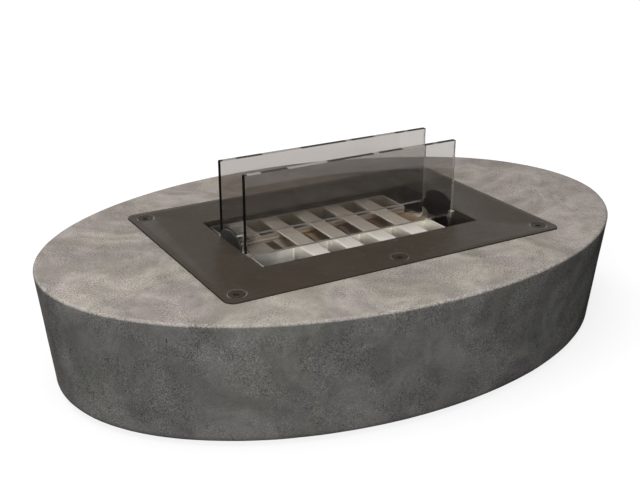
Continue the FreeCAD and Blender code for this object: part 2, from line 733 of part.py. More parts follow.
def short_bar(doc, sheet):
    """The bar at the left that only reaches from the back to the tank."""
    bar = new_body(doc, "short_bar")
    middle = f"({FIRST_GAP} - {BAR_PITCH} / 2)"
    back = "(opening_width / 2 - frame_gap - frame_sheet)"
    profile = bar_profile(sketch_on(bar, "XZ_Plane", f"-{back}"), middle)
    blank = pad(bar, profile, f"{back} - tank_width / 2")
    bend_bar(bar, blank, sheet)
    bar_tabs(bar, middle, 1)
    return bar


def fuel_tank(doc):
    """The long sheet tank, its right end lower so that the slide passes over it."""
    tank = new_body(doc, "fuel_tank")
    block = rectangle(sketch_on(tank, "XY_Plane", TANK_FLOOR), (BURNER_LEFT, BURNER_RIGHT),
                      centred("tank_width"))
    pad(tank, block, "tank_depth")
    inside = rectangle(sketch_on(tank, "XY_Plane", BAR_UNDER),
                       (f"{BURNER_LEFT} + tank_sheet", f"{BURNER_RIGHT} - tank_sheet"),
                       centred("tank_width - 2 * tank_sheet"))
    pocket(tank, inside, "tank_depth - tank_sheet")
    notch = rectangle(sketch_on(tank, "XY_Plane", BAR_UNDER),
                      (f"{BURNER_RIGHT} - tank_sheet - overcut", f"{BURNER_RIGHT} + overcut"),
                      centred("tank_width - 2 * tank_sheet"))
    pocket(tank, notch, f"{BAR_UNDER} - {LID_FLOOR}")
    return tank


def burner_windows(body, top, thickness, first, length):
    """A row of windows, one between each pair of bars."""
    window = rectangle(sketch_on(body, "XY_Plane", top),
                       (f"{first} - ({length}) / 2", f"{first} + ({length}) / 2"), centred("window_width"))
    opening = pocket(body, window, thickness)
    row_of(body, opening, window, f"{WINDOWS - 1} * {BAR_PITCH}", WINDOWS)


def tank_cover(doc):
    """The plate welded into the tank, with one burner window under each gap."""
    cover = new_body(doc, "tank_cover")
    plate = rectangle(sketch_on(cover, "XY_Plane", LID_FLOOR),
                      (f"{BURNER_LEFT} + tank_sheet", f"{BURNER_RIGHT} - tank_sheet"),
                      centred("tank_width - 2 * tank_sheet"))
    pad(cover, plate, "lid_sheet")
    burner_windows(cover, LID_TOP, "lid_sheet", FIRST_GAP, f"{BAR_WIDTH} - 2 * window_inset")
    return cover


def ceramic_wick(doc):
    """The ceramic wool that fills the tank."""
    wick = new_body(doc, "ceramic_wick")
    block = rectangle(sketch_on(wick, "XY_Plane", f"{TANK_FLOOR} + tank_sheet"),
                      (f"{BURNER_LEFT} + tank_sheet", f"{BURNER_RIGHT} - tank_sheet"),
                      centred("tank_width - 2 * tank_sheet"))
    pad(wick, block, f"{LID_FLOOR} - wick_drop - ({TANK_FLOOR} + tank_sheet)")
    return wick


def slide_guide(doc, label, side):
    """A stepped strip that holds down one edge of the slide, side being -1 or 1."""
    wall = f"{side} * (tank_width / 2 - tank_sheet)"
    edge = f"{side} * (slide_width / 2 + side_gap)"
    lip = f"{side} * (slide_width / 2 - guide_lip)"
    under = f"{SLIDE_TOP} + side_gap"
    guide = new_body(doc, label)
    profile = sketch_on(guide, "YZ_Plane", f"({BURNER_LEFT} + {BURNER_RIGHT}) / 2")
    outline(profile, [
        (wall, LID_TOP),
        (edge, LID_TOP),
        (edge, under),
        (lip, under),
        (lip, f"{under} + guide_sheet"),
        (wall, f"{under} + guide_sheet"),
    ])
    pad(guide, profile, "burner_length - 4 * tank_sheet", both_sides=True)
    return guide


def closing_slide(doc):
    """The slide that covers the windows, half open here, with a lipped tongue at the right."""
    slide = new_body(doc, "closing_slide")
    wide = f"({LIP_LEFT} - tongue_taper)"
    face = sketch_on(slide, "XY_Plane", LID_TOP)
    outline(face, [
        (SLIDE_LEFT, "-slide_width / 2"),
        (wide, "-slide_width / 2"),
        (LIP_LEFT, "-tongue_width / 2"),
        (SLIDE_RIGHT, "-tongue_width / 2"),
        (SLIDE_RIGHT, "tongue_width / 2"),
        (LIP_LEFT, "tongue_width / 2"),
        (wide, "slide_width / 2"),
        (SLIDE_LEFT, "slide_width / 2"),
    ])
    pad(slide, face, "slide_sheet")
    edge, skin = "tongue_width / 2", "(tongue_width / 2 - slide_sheet)"
    for deep in ((f"-{edge}", f"-{skin}"), (skin, edge)):
        under = sketch_on(slide, "XY_Plane", f"{SLIDE_TOP} - lip_height")
        pad(slide, rectangle(under, (LIP_LEFT, SLIDE_RIGHT), deep), "lip_height")
    first = f"({FIRST_GAP} - {SLIDE_TRAVEL} / 2)"
    burner_windows(slide, SLIDE_TOP, "slide_sheet", first, f"{SLIDE_TRAVEL} + slide_margin")
    return slide


def lying_cylinder(doc, name, radius, across, height):
    """A cylinder along Y, right through the lug, about a point given by two rules."""
    made = cylinder(doc, name, f"2 * {radius}", (across, "-lug_foot", height), "2 * lug_foot")
    made.Placement.Rotation = FreeCAD.Rotation(FreeCAD.Vector(1, 0, 0), -90)
    return made


def slide_lug(doc):
    """The bent finger lug: a foot on the slide and a curved fin."""
    foot = box(doc, "lug_foot_plate", (LUG_LEFT, LUG_RIGHT), centred("lug_foot"),
               (SLIDE_TOP, f"{SLIDE_TOP} + lug_sheet"))
    fin = box(doc, "lug_fin_plate", (LUG_LEFT, LUG_RIGHT), ("-lug_foot / 2", "-lug_foot / 2 + lug_sheet"),
              (SLIDE_TOP, f"{SLIDE_TOP} + lug_height"))
    hollow = lying_cylinder(doc, "lug_hollow_cut", "lug_hollow", f"{LUG_RIGHT} - lug_neck - lug_hollow",
                            f"{SLIDE_TOP} + lug_waist")
    crown = lying_cylinder(doc, "lug_crown_round", "lug_crown", LUG_LEFT, SLIDE_TOP)
    curved = common(doc, "lug_fin_curve", cut(doc, "lug_fin_hollowed", fin, hollow), crown)
    blank = fuse(doc, "lug_blank", [foot, curved])
    bore = cylinder(doc, "lug_bore", "rivet_shank", (RIVET_X, "rivet_offset", SLIDE_TOP),
                    "lug_sheet + overcut")
    made = cut(doc, "slide_lug", blank, bore)
    made.Label = "slide_lug"
    return made


def lug_rivet(doc):
    """The rivet through the lug's foot."""
    shank = cylinder(doc, "rivet_pin", "rivet_shank", (RIVET_X, "rivet_offset", SLIDE_TOP), "lug_sheet")
    head = cone(doc, "rivet_dome", "rivet_head", "rivet_shank",
                (RIVET_X, "rivet_offset", f"{SLIDE_TOP} + lug_sheet"), "rivet_cap")
    made = fuse(doc, "lug_rivet", [shank, head])
    made.Label = "lug_rivet"
    return made


# Cheeks and glass

def cheek(doc, label, side):
    """A round-topped plate against the well's end wall, side being -1 or 1."""
    outer = f"{side} * {OPENING_LENGTH} / 2"
    inner = f"{side} * {CHEEK_INNER}"
    across = (inner, outer) if side > 0 else (outer, inner)
    deep = centred("cheek_width")
    shoulder = f"({PLATE_TOP} + cheek_rise - cheek_crown)"
    lower = box(doc, f"{label}_lower", across, deep, (f"{PLATE_TOP} - cheek_fall", shoulder))
    upper = box(doc, f"{label}_upper", across, deep, (shoulder, f"{PLATE_TOP} + cheek_rise"))
    before = f"{across[0]} - overcut"
    crown = cylinder(doc, f"{label}_crown", "2 * cheek_crown", (before, "0 * cheek_crown", shoulder),
                     "cheek_sheet + 2 * overcut")
    bore = cylinder(doc, f"{label}_bore", "pin_diameter", (before, "0 * pin_diameter", PIN_Z),
                    "cheek_sheet + 2 * overcut")
    for round_piece in (crown, bore):
        round_piece.Placement.Rotation = FreeCAD.Rotation(FreeCAD.Vector(0, 1, 0), 90)
    blank = fuse(doc, f"{label}_blank", [lower, common(doc, f"{label}_round", upper, crown)])
    made = cut(doc, label, blank, bore)
    made.Label = label
    return made


def cheek_screws(doc):
    """A screw through each cheek into the well's end wall, its six-sided head inside."""
    pieces = []
    for name, side in (("left", -1), ("right", 1)):
        turn = FreeCAD.Rotation(FreeCAD.Vector(0, 1, 0), 90 * side)
        shank = cylinder(doc, f"cheek_shank_{name}", "pin_diameter",
                         (f"{side} * {CHEEK_INNER}", "0 * pin_diameter", PIN_Z), "cheek_sheet + well_wall")
        shank.Placement.Rotation = turn
        head = hexagon(doc, f"cheek_head_{name}", "pin_head",
                       (f"{side} * ({CHEEK_INNER} - pin_cap)", "0 * pin_diameter", PIN_Z), "pin_cap")
        head.Placement.Rotation = turn
        pieces.append(fuse(doc, f"cheek_screw_{name}", [shank, head]))
    return group(doc, "cheek_screws", pieces)


def glass_channel(doc, label, end, side):
    """A short upright channel on the well's end wall that takes the lower end of a pane."""
    wall = f"{end} * {OPENING_LENGTH} / 2"
    mouth = f"{end} * ({GLASS_LENGTH} / 2 - channel_leg)"
    web = f"{end} * ({GLASS_LENGTH} / 2 + channel_gap)"
    middle = f"{side} * glass_pitch / 2"
    inner = f"{side} * cheek_width / 2"
    outer = f"{side} * (glass_pitch - cheek_width / 2)"
    near = f"{middle} - {side} * (glass_thickness / 2 + channel_gap)"
    far = f"{middle} + {side} * (glass_thickness / 2 + channel_gap)"
    made = new_body(doc, label)
    section = sketch_on(made, "XY_Plane", f"{PLATE_TOP} - channel_fall")
    outline(section, [
        (wall, inner),
        (wall, outer),
        (mouth, outer),
        (mouth, far),
        (web, far),
        (web, near),
        (mouth, near),
        (mouth, inner),
    ])
    pad(made, section, "channel_fall - channel_drop")
    return made


def pane(doc, label, side):
    """A pane that stands on the bars, with bevelled edges."""
    made = new_body(doc, label)
    middle = f"{side} * glass_pitch / 2"
    section = rectangle(sketch_on(made, "XY_Plane", BAR_TOP), centred(GLASS_LENGTH),
                        (f"{middle} - glass_thickness / 2", f"{middle} + glass_thickness / 2"))
    block = pad(made, section, "glass_rise + bar_drop")
    edges = [f"Edge{i + 1}" for i in range(len(block.Shape.Edges))]
    bevel_edges(made, block, edges, "glass_edge")
    return made


def build(doc, sheet):
    """Makes every sub-part."""
    concrete_body(doc)
    foot_inserts(doc)
    base_panel(doc)
    rubber_feet(doc)
    foot_screws(doc)
    cover_plate(doc)
    cover_screws(doc)
    cover_inserts(doc)
    burner_well(doc)
    rail(doc, "front_rail", -1)
    rail(doc, "rear_rail", 1)
    burner_frame(doc, sheet)
    for index in range(BARS):
        cross_bar(doc, sheet, index)
    short_bar(doc, sheet)
    fuel_tank(doc)
    tank_cover(doc)
    ceramic_wick(doc)
    slide_guide(doc, "front_slide_guide", -1)
    slide_guide(doc, "rear_slide_guide", 1)
    closing_slide(doc)
    slide_lug(doc)
    lug_rivet(doc)
    cheek(doc, "left_cheek", -1)
    cheek(doc, "right_cheek", 1)
    cheek_screws(doc)
    for end_name, end in (("left", -1), ("right", 1)):
        glass_channel(doc, f"front_{end_name}_channel", end, -1)
        glass_channel(doc, f"rear_{end_name}_channel", end, 1)
    pane(doc, "front_glass", -1)
    pane(doc, "rear_glass", 1)


NODES = (
    ["concrete_body", "foot_inserts", "base_panel", "rubber_feet", "foot_screws"]
    + ["cover_plate", "cover_screws", "cover_inserts"]
    + ["burner_well", "front_rail", "rear_rail", "burner_frame"]
    + [f"cross_bar_{index + 1}" for index in range(BARS)]
    + ["short_bar", "fuel_tank", "tank_cover", "ceramic_wick", "front_slide_guide", "rear_slide_guide"]
    + ["closing_slide", "slide_lug", "lug_rivet", "left_cheek", "right_cheek", "cheek_screws"]
    + ["front_left_channel", "front_right_channel", "rear_left_channel", "rear_right_channel"]
    + ["front_glass", "rear_glass"]
)


def check_and_write(doc):
    """Writes one file for each sub-part once all of them are sound."""
    for item in doc.Objects:
        if "Invalid" in item.State or "Error" in item.State:
            raise ValueError(f"{item.Label} failed")
    solids = {}
    for label in NODES:
        item = doc.getObjectsByLabel(label)[0]
        if item.Shape.isNull() or not item.Shape.isValid() or not item.Shape.Solids:
            raise ValueError(f"{label} is not a sound solid")
        solids[label] = item.Shape
    os.makedirs("parts", exist_ok=True)
    for label, shape in solids.items():
        shape.exportStep(f"parts/{label}.step")
        box_size = shape.BoundBox
        print(f"{label}: {len(shape.Solids)} solid(s), {shape.Volume:.0f} mm3, "
              f"z {box_size.ZMin:.2f} to {box_size.ZMax:.2f}")


def main():
    """Makes the document, the sub-parts and their files."""
    doc = FreeCAD.newDocument("fire_pit")
    sheet = make_sheet(doc)
    build(doc, sheet)
    doc.recompute()
    check_and_write(doc)


main()
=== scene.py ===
"""Tabletop fire pit: finishes and fine pieces on the packed model, in metres, with its stage."""
import math

import bmesh
import bpy
from bpy.props import FloatProperty, FloatVectorProperty, PointerProperty
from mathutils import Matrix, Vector, noise


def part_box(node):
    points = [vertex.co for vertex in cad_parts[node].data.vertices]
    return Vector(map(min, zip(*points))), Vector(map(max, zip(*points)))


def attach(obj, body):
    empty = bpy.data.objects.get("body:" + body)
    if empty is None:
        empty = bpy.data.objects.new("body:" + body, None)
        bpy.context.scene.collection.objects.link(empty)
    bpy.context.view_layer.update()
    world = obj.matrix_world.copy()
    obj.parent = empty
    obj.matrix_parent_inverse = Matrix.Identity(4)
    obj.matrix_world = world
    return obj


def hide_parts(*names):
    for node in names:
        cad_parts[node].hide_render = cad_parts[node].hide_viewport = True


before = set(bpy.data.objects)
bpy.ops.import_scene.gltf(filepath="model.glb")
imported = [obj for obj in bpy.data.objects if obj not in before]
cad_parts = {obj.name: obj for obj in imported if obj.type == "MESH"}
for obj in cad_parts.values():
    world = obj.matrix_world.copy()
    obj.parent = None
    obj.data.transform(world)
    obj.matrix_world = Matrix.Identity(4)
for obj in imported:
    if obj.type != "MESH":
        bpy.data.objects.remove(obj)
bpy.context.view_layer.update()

bl_info = {
    "name": "Tabletop fire pit",
    "version": (1, 0, 0),
    "blender": (4, 5, 0),
    "location": "3D View > Sidebar > Fire pit",
    "description": "Dresses the fire pit's frame with its finishes and fine pieces",
    "category": "Object",
}

MM = 0.001
PLATE_LOW, PLATE_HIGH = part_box("cover_plate")
CONCRETE_LOW, CONCRETE_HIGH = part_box("concrete_body")
WELL_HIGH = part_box("burner_well")[1]
TANK_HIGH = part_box("fuel_tank")[1]
PANEL_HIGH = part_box("base_panel")[1]
BARS = ("cross_bar_1", "cross_bar_2", "cross_bar_3", "cross_bar_4", "short_bar")

# Forms of the packed model that its boxes don't tell
SLOPE = Vector((10.5, 11.5)) * MM
RIM_LEDGE = 6 * MM
RIM_GAP = 0.5 * MM
BODY_WALL = 24 * MM
DECK_THICKNESS = 22 * MM
PLATE_CORNER = 9 * MM
PLATE_GAP = 0.5 * MM
FLANGE_SEAT = 1.6 * MM
HOLE_DEPTH = 20 * MM
BOSS_SIDE = 34 * MM
BOSS_PLACES = [Vector((x * 166, y * 100)) * MM for x in (-1, 1) for y in (-1, 1)]
SCREW_HEAD_RADIUS = 8.5 * MM

# How finely the cast body is meshed
SEAT_PITCH = 4.5 * MM
SEAT_CHAMFER = 0.3 * MM
CORNER_PARTS = 8
TOP_RINGS = 26
EDGE_RINGS = 6
SIDE_RINGS = 24
FOOT_RINGS = 8

# Sides of a round foot, screw, rivet and floor
ROUND_PARTS = 48
RIVET_PARTS = 32
FLOOR_PARTS = 96

# Weld beads, below the bars' tops
BEAD_TOP = 3 * MM
BEAD_FOOT = 14.4 * MM
BEAD_RADIUS = 0.7 * MM
BEAD_RIPPLES = 9
BEAD_SIDES = 10

# Which way a sheet is brushed: the stretch is large across the lines
ALONG_X = (40.0, 2600.0, 2600.0)
ALONG_Y = (2600.0, 40.0, 2600.0)
UPRIGHT = (2600.0, 2600.0, 40.0)
TURNED = (900.0, 900.0, 2600.0)
ALL_WAYS = (900.0, 900.0, 900.0)

# Tones of what lies on the pieces or shows through them, and of painted shade and highlights
DUST_TONE = (0.42, 0.4, 0.37)
# Tone of soot and painted shade on the burner
SOOT_AND_SHADE_TONE = (0.035, 0.032, 0.028)
# Painted shade tone for the insides of the air holes
PAINTED_PIT_SHADE_TONE = (0.05, 0.048, 0.045)
SCRATCH_TONE = (0.03, 0.03, 0.03)
# Painted highlight tone for the concrete's rounded top edge
PAINTED_RIM_HIGHLIGHT_TONE = (0.46, 0.435, 0.4)

# The stage, in metres and degrees
FLOOR_RADIUS = 9.0
EYE = (-0.4895, -0.8106, 0.4720)
EYE_TURN = -29.915
EYE_RISE = 21.749
LENS = 57.202

# Sockets of the Mix node, which has several of one name
MIX_FACTOR, MIX_VALUE_A, MIX_VALUE_B = 0, 2, 3
MIX_COLOUR_A, MIX_COLOUR_B, MIX_COLOUR_RESULT = 6, 7, 2


# Settings

def colour(label, tip, value):
    """A colour setting."""
    return FloatVectorProperty(name=label, description=tip, default=value,
                               subtype="COLOR", min=0, max=1)


def share(label, tip, value):
    """A setting from 0 to 1."""
    return FloatProperty(name=label, description=tip, default=value, min=0, max=1, subtype="FACTOR")


def length(label, tip, value):
    """A length setting in metres."""
    return FloatProperty(name=label, description=tip, default=value, min=0, unit="LENGTH",
                         precision=5)


def power(label, tip, value):
    """A lamp's power in watts."""
    return FloatProperty(name=label, description=tip, default=value, min=0, unit="POWER")


class ConcreteLook(bpy.types.PropertyGroup):
    """How the cast body looks."""
    top: colour("Top colour", "Colour of the ground top face", (0.338, 0.307, 0.282))
    # The side colour is darker than the top partly by the moulded face's own tone and partly by
    # painted shade, for a side lit less than the top
    side: colour("Side colour", "Colour of the moulded side", (0.17, 0.167, 0.162))
    waves: length("Waves", "Height of the slow waves in the cast faces", 0.25 * MM)
    edge: length("Edge radius", "Rounding of the top edge", 3 * MM)
    foot_edge: length("Foot edge", "Rounding of the bottom edge", 10 * MM)


class SteelLook(bpy.types.PropertyGroup):
    """How the sheet parts look."""
    cover: colour("Cover", "Colour of the coated cover plate", (0.046, 0.0365, 0.0275))
    black: colour("Black parts", "Colour of the heat resistant coating", (0.024, 0.019, 0.016))
    # The burner colour is partly the bare sheet's own tone and partly painted warm flame light,
    # warmer and brighter than bare steel
    bright: colour("Burner", "Colour of the bare burner sheet", (0.92, 0.886, 0.815))
    wear: share("Edge wear", "How far the edges are rubbed", 0.5)
    tint: share("Heat tint", "How far the heat has tinted the burner", 0.5)
    bevel: length("Bevel", "Bevel of the sheets' edges", 0.2 * MM)


class GlassLook(bpy.types.PropertyGroup):
    """How the panes look."""
    face: colour("Tint", "Tint of the panes", (0.51, 0.482, 0.455))
    edge: colour("Edges", "Colour of the ground left ends and tops", (0.004, 0.0037, 0.0035))


class StageLook(bpy.types.PropertyGroup):
    """Floor and lamps."""
    floor: colour("Floor", "Colour of the floor", (0.22, 0.22, 0.22))
    key: power("Key lamp", "Power of the large lamp above", 24)
    side: power("Side lamp", "Power of the lamp beside the camera", 19)
    back: power("Back lamp", "Power of the lamp behind", 12)
    ambient: share("Ambient", "Light that comes from all round", 0.04)


# Node helpers

def give(tree, socket, value):
    """Links an input to another socket, or sets it."""
    if isinstance(value, bpy.types.NodeSocket):
        tree.links.new(value, socket)
    else:
        socket.default_value = value


def place(tree, kind, inputs=None, **settings):
    """Adds a node, sets what it is told and sets or links its inputs."""
    made = tree.nodes.new(kind)
    for name, value in settings.items():
        setattr(made, name, value)
    for name, value in (inputs or {}).items():
        give(tree, made.inputs[name], value)
    return made


def work(tree, operation, *values, clamp=False):
    """The result of a Math node."""
    made = place(tree, "ShaderNodeMath", dict(enumerate(values)), operation=operation,
                 use_clamp=clamp)
    return made.outputs[0]


def product(tree, first, second):
    """Two values multiplied."""
    return work(tree, "MULTIPLY", first, second)


def blend(tree, factor, first, second, kind="MIX"):
    """Two colours mixed."""
    inputs = {MIX_FACTOR: factor, MIX_COLOUR_A: first, MIX_COLOUR_B: second}
    made = place(tree, "ShaderNodeMix", inputs, data_type="RGBA", blend_type=kind)
    return made.outputs[MIX_COLOUR_RESULT]


def between(tree, factor, first, second):
    """A value between two others."""
    inputs = {MIX_FACTOR: factor, MIX_VALUE_A: first, MIX_VALUE_B: second}
    return place(tree, "ShaderNodeMix", inputs, data_type="FLOAT").outputs[0]


def steps(tree, value, low, high, to_low=0.0, to_high=1.0):
    """A value moved softly from one range to another."""
    made = place(tree, "ShaderNodeMapRange", {"Value": value, "From Min": low, "From Max": high,
                                              "To Min": to_low, "To Max": to_high},
                 interpolation_type="SMOOTHSTEP")
    return made.outputs[0]


def clouds(tree, where, scale, detail=4.0, rough=0.55, twist=0.0):
    """Noise from 0 to 1."""
    made = place(tree, "ShaderNodeTexNoise", {"Vector": where, "Scale": scale, "Detail": detail,
                                              "Roughness": rough, "Distortion": twist})
    return made.outputs[0]


def cells(tree, where, scale, feature="F1"):
    """Distances in a cell pattern."""
    made = place(tree, "ShaderNodeTexVoronoi", {"Vector": where, "Scale": scale}, feature=feature)
    return made.outputs["Distance"]


def own_place(tree):
    """The point on the piece, in metres from its own origin."""
    return place(tree, "ShaderNodeTexCoord").outputs["Object"]


def stretched(tree, where, by):
    """A place scaled each way."""
    return place(tree, "ShaderNodeVectorMath", {0: where, 1: by}, operation="MULTIPLY").outputs[0]


def scaled_and_moved(tree, first, times, plus):
    """One vector times another, plus a third."""
    inputs = {0: first, 1: times, 2: plus}
    return place(tree, "ShaderNodeVectorMath", inputs, operation="MULTIPLY_ADD").outputs[0]


def distance(tree, where):
    """How far a place is from the origin."""
    return place(tree, "ShaderNodeVectorMath", {0: where}, operation="LENGTH").outputs["Value"]


def shake(tree, where, scale):
    """Noise that differs along each axis."""
    made = place(tree, "ShaderNodeTexNoise", {"Vector": where, "Scale": scale})
    return made.outputs["Color"]


def wander(tree, where, scale, reach, detail=3.0, rough=0.55):
    """Noise about zero."""
    about_zero = work(tree, "SUBTRACT", clouds(tree, where, scale, detail, rough), 0.5)
    return product(tree, about_zero, reach)


def new_group(name, inputs, outputs):
    """An empty effect, its inputs given by their values and its outputs by their kinds."""
    group = bpy.data.node_groups.new(name, "ShaderNodeTree")
    for label, value in inputs.items():
        kind = "Vector" if isinstance(value, tuple) else "Float"
        socket = group.interface.new_socket(name=label, in_out="INPUT",
                                            socket_type=f"NodeSocket{kind}")
        socket.default_value = value
    for label, kind in outputs.items():
        group.interface.new_socket(name=label, in_out="OUTPUT", socket_type=f"NodeSocket{kind}")
    given = group.nodes.new("NodeGroupInput").outputs
    return group, given, group.nodes.new("NodeGroupOutput").inputs


def effect(tree, name, **inputs):
    """Places an effect in a material; an input's name is given in small letters."""
    made = place(tree, "ShaderNodeGroup", node_tree=bpy.data.node_groups[name])
    for key, value in inputs.items():
        give(tree, made.inputs[key.capitalize()], value)
    return made.outputs


# Effects

def make_grain():
    """Fine speckle over soft clouds."""
    group, given, result = new_group(
        "Grain", {"Size": 0.002, "Clouding": 0.5}, {"Value": "Float", "Fine": "Float"})
    where = own_place(group)
    rate = work(group, "DIVIDE", 1.0, given["Size"])
    fine = clouds(group, where, rate, 2.0, 0.7)
    wide = clouds(group, where, product(group, rate, 0.09), 5.0, 0.6, 0.4)
    give(group, result["Value"], between(group, given["Clouding"], fine, wide))
    give(group, result["Fine"], fine)


def make_pits():
    """Small round air holes of two sizes, sparse and uneven."""
    group, given, result = new_group("Pits", {"Size": 0.004, "Share": 0.3}, {"Mask": "Float"})
    where = own_place(group)
    rate = work(group, "DIVIDE", 1.0, given["Size"])
    shaken = scaled_and_moved(group, where, shake(group, where, 400.0), (0.0008,) * 3)
    masks = []
    for times, width in ((1.0, 0.2), (2.7, 0.24)):
        holes = cells(group, shaken, product(group, rate, times))
        spots = steps(group, holes, width, width * 0.45)
        patches = clouds(group, where, product(group, rate, times * 0.31), 2.0)
        limit = work(group, "SUBTRACT", 0.72, product(group, given["Share"], 0.3))
        chosen = steps(group, patches, limit, work(group, "ADD", limit, 0.03))
        masks.append(product(group, spots, chosen))
    give(group, result["Mask"], work(group, "MAXIMUM", *masks))


def make_brushing():
    """Fine parallel lines; the stretch is large across them."""
    group, given, result = new_group(
        "Brushing", {"Stretch": ALONG_X}, {"Lines": "Float", "Smudges": "Float"})
    where = own_place(group)
    lines = clouds(group, stretched(group, where, given["Stretch"]), 1.0, 3.0, 0.7)
    give(group, result["Lines"], lines)
    give(group, result["Smudges"], clouds(group, where, 38.0, 4.0, 0.6, 0.8))


def make_edge_wear():
    """Where edges are rubbed."""
    group, given, result = new_group(
        "Edge wear", {"Width": 0.0006, "Amount": 0.5}, {"Mask": "Float"})
    rounded = place(group, "ShaderNodeBevel", {"Radius": given["Width"]}, samples=4)
    plain = place(group, "ShaderNodeNewGeometry").outputs["Normal"]
    same = place(group, "ShaderNodeVectorMath", {0: rounded.outputs[0], 1: plain},
                 operation="DOT_PRODUCT")
    bent = steps(group, same.outputs["Value"], 0.99, 0.86)
    patchy = clouds(group, own_place(group), 260.0, 4.0, 0.65)
    broken = steps(group, patchy, work(group, "SUBTRACT", 0.85, given["Amount"]),
                   work(group, "SUBTRACT", 1.1, given["Amount"]))
    give(group, result["Mask"], product(group, bent, broken))


def make_dust():
    """Dust that lies on upward faces in soft patches."""
    group, given, result = new_group("Dust", {"Amount": 0.3, "Size": 0.03}, {"Mask": "Float"})
    normal = place(group, "ShaderNodeNewGeometry").outputs["Normal"]
    up = place(group, "ShaderNodeSeparateXYZ", {0: normal}).outputs["Z"]
    where = own_place(group)
    wide = clouds(group, where, work(group, "DIVIDE", 1.0, given["Size"]), 5.0, 0.6, 0.5)
    specks = steps(group, clouds(group, where, 1500.0, 1.0), 0.62, 0.74)
    soft = product(group, steps(group, wide, 0.4, 0.75), steps(group, up, 0.2, 0.95))
    full = product(group, soft, work(group, "MULTIPLY_ADD", specks, 0.8, 0.25))
    give(group, result["Mask"], product(group, full, given["Amount"]))


def make_heat_tint():
    """Straw to brown bands that grow towards the middle of the burner."""
    group, given, result = new_group(
        "Heat tint", {"Reach": 0.034, "Amount": 0.6}, {"Colour": "Color", "Mask": "Float"})
    where = own_place(group)
    half_along_x, aside = (0.5, 1.0, 0.0), (-0.012, 0.0, 0.0)
    flat = scaled_and_moved(group, where, half_along_x, aside)
    off = work(group, "ADD", distance(group, flat), wander(group, where, 60.0, 0.03))
    near = work(group, "SUBTRACT", 1.0, work(group, "DIVIDE", off, given["Reach"]), clamp=True)
    bands = place(group, "ShaderNodeValToRGB", {0: near})
    ramp = bands.color_ramp
    pale, straw, bronze = (0.92, 0.86, 0.74, 1), (0.84, 0.66, 0.38, 1), (0.5, 0.3, 0.16, 1)
    brown, dark_brown = (0.32, 0.2, 0.13, 1), (0.25, 0.18, 0.14, 1)
    ramp.elements[0].color = pale
    ramp.elements[1].position = 1.0
    ramp.elements[1].color = dark_brown
    for position, tone in ((0.3, straw), (0.58, bronze), (0.8, brown)):
        ramp.elements.new(position).color = tone
    give(group, result["Colour"], bands.outputs[0])
    tinted = product(group, steps(group, near, 0.0, 0.5), given["Amount"])
    give(group, result["Mask"], tinted)


def make_scratches():
    """A few short upright marks, thin and uneven."""
    group, given, result = new_group("Scratches", {"Size": 0.012, "Share": 0.3}, {"Mask": "Float"})
    where = own_place(group)
    shaken = scaled_and_moved(group, shake(group, where, 300.0), (0.0012,) * 3, where)
    upright = stretched(group, shaken, (1.0, 1.0, 0.2))
    near = cells(group, upright, work(group, "DIVIDE", 1.0, given["Size"]))
    limit = product(group, given["Share"], 0.12)
    give(group, result["Mask"], steps(group, near, limit, product(group, limit, 0.5)))


def make_soot_and_shade():
    """Soot and painted shade towards the left end of the rear half of the burner, where it lies in
    shade, broken at its rim.
    """
    group, given, result = new_group("Soot and painted shade", {"Amount": 0.8}, {"Mask": "Float"})
    where = own_place(group)
    parts = place(group, "ShaderNodeSeparateXYZ", {0: where})
    broken = wander(group, where, 70.0, 0.05, 4.0, 0.65)
    clean_x, sooty_x, clean_y, sooty_y = -0.072, -0.098, -0.03, 0.008
    left = steps(group, work(group, "ADD", parts.outputs["X"], broken), clean_x, sooty_x)
    rear = steps(group, work(group, "ADD", parts.outputs["Y"], broken), clean_y, sooty_y, 0.5)
    full = product(group, product(group, left, rear), given["Amount"])
    give(group, result["Mask"], full)


def make_effects():
    """Builds every effect once."""
    for make in (make_grain, make_pits, make_brushing, make_edge_wear, make_dust, make_heat_tint,
                 make_scratches, make_soot_and_shade):
        make()


# Finishes

def new_finish(name):
    """The tree and the shader of a new material."""
    material = bpy.data.materials.new(name)
    material.use_nodes = True
    tree = material.node_tree
    return tree, tree.nodes["Principled BSDF"]


def feed(tree, shader, **inputs):
    """Sets or links inputs of the shader; words are joined by underscores."""
    for key, value in inputs.items():
        give(tree, shader.inputs[key.replace("_", " ").title().replace("Ior", "IOR")], value)


def relief(tree, height, depth):
    """A normal from a height between 0 and 1, whose depth is in metres."""
    made = place(tree, "ShaderNodeBump", {"Height": height, "Distance": depth, "Strength": 1.0})
    return made.outputs[0]


def grey(tree, value):
    """A value as a grey colour."""
    return place(tree, "ShaderNodeCombineColor", {0: value, 1: value, 2: value}).outputs[0]


def rgba(tone, times=1.0):
    """A colour with full alpha."""
    return (*(min(1.0, part * times) for part in tone), 1.0)


def shaded(tree, tone, shade):
    """A colour times a grey value."""
    return blend(tree, 1.0, tone, grey(tree, shade), "MULTIPLY")


def two_tone(tree, value, low, high, first, second):
    """A colour that changes softly to another as a value rises."""
    return blend(tree, steps(tree, value, low, high), rgba(first), rgba(second))


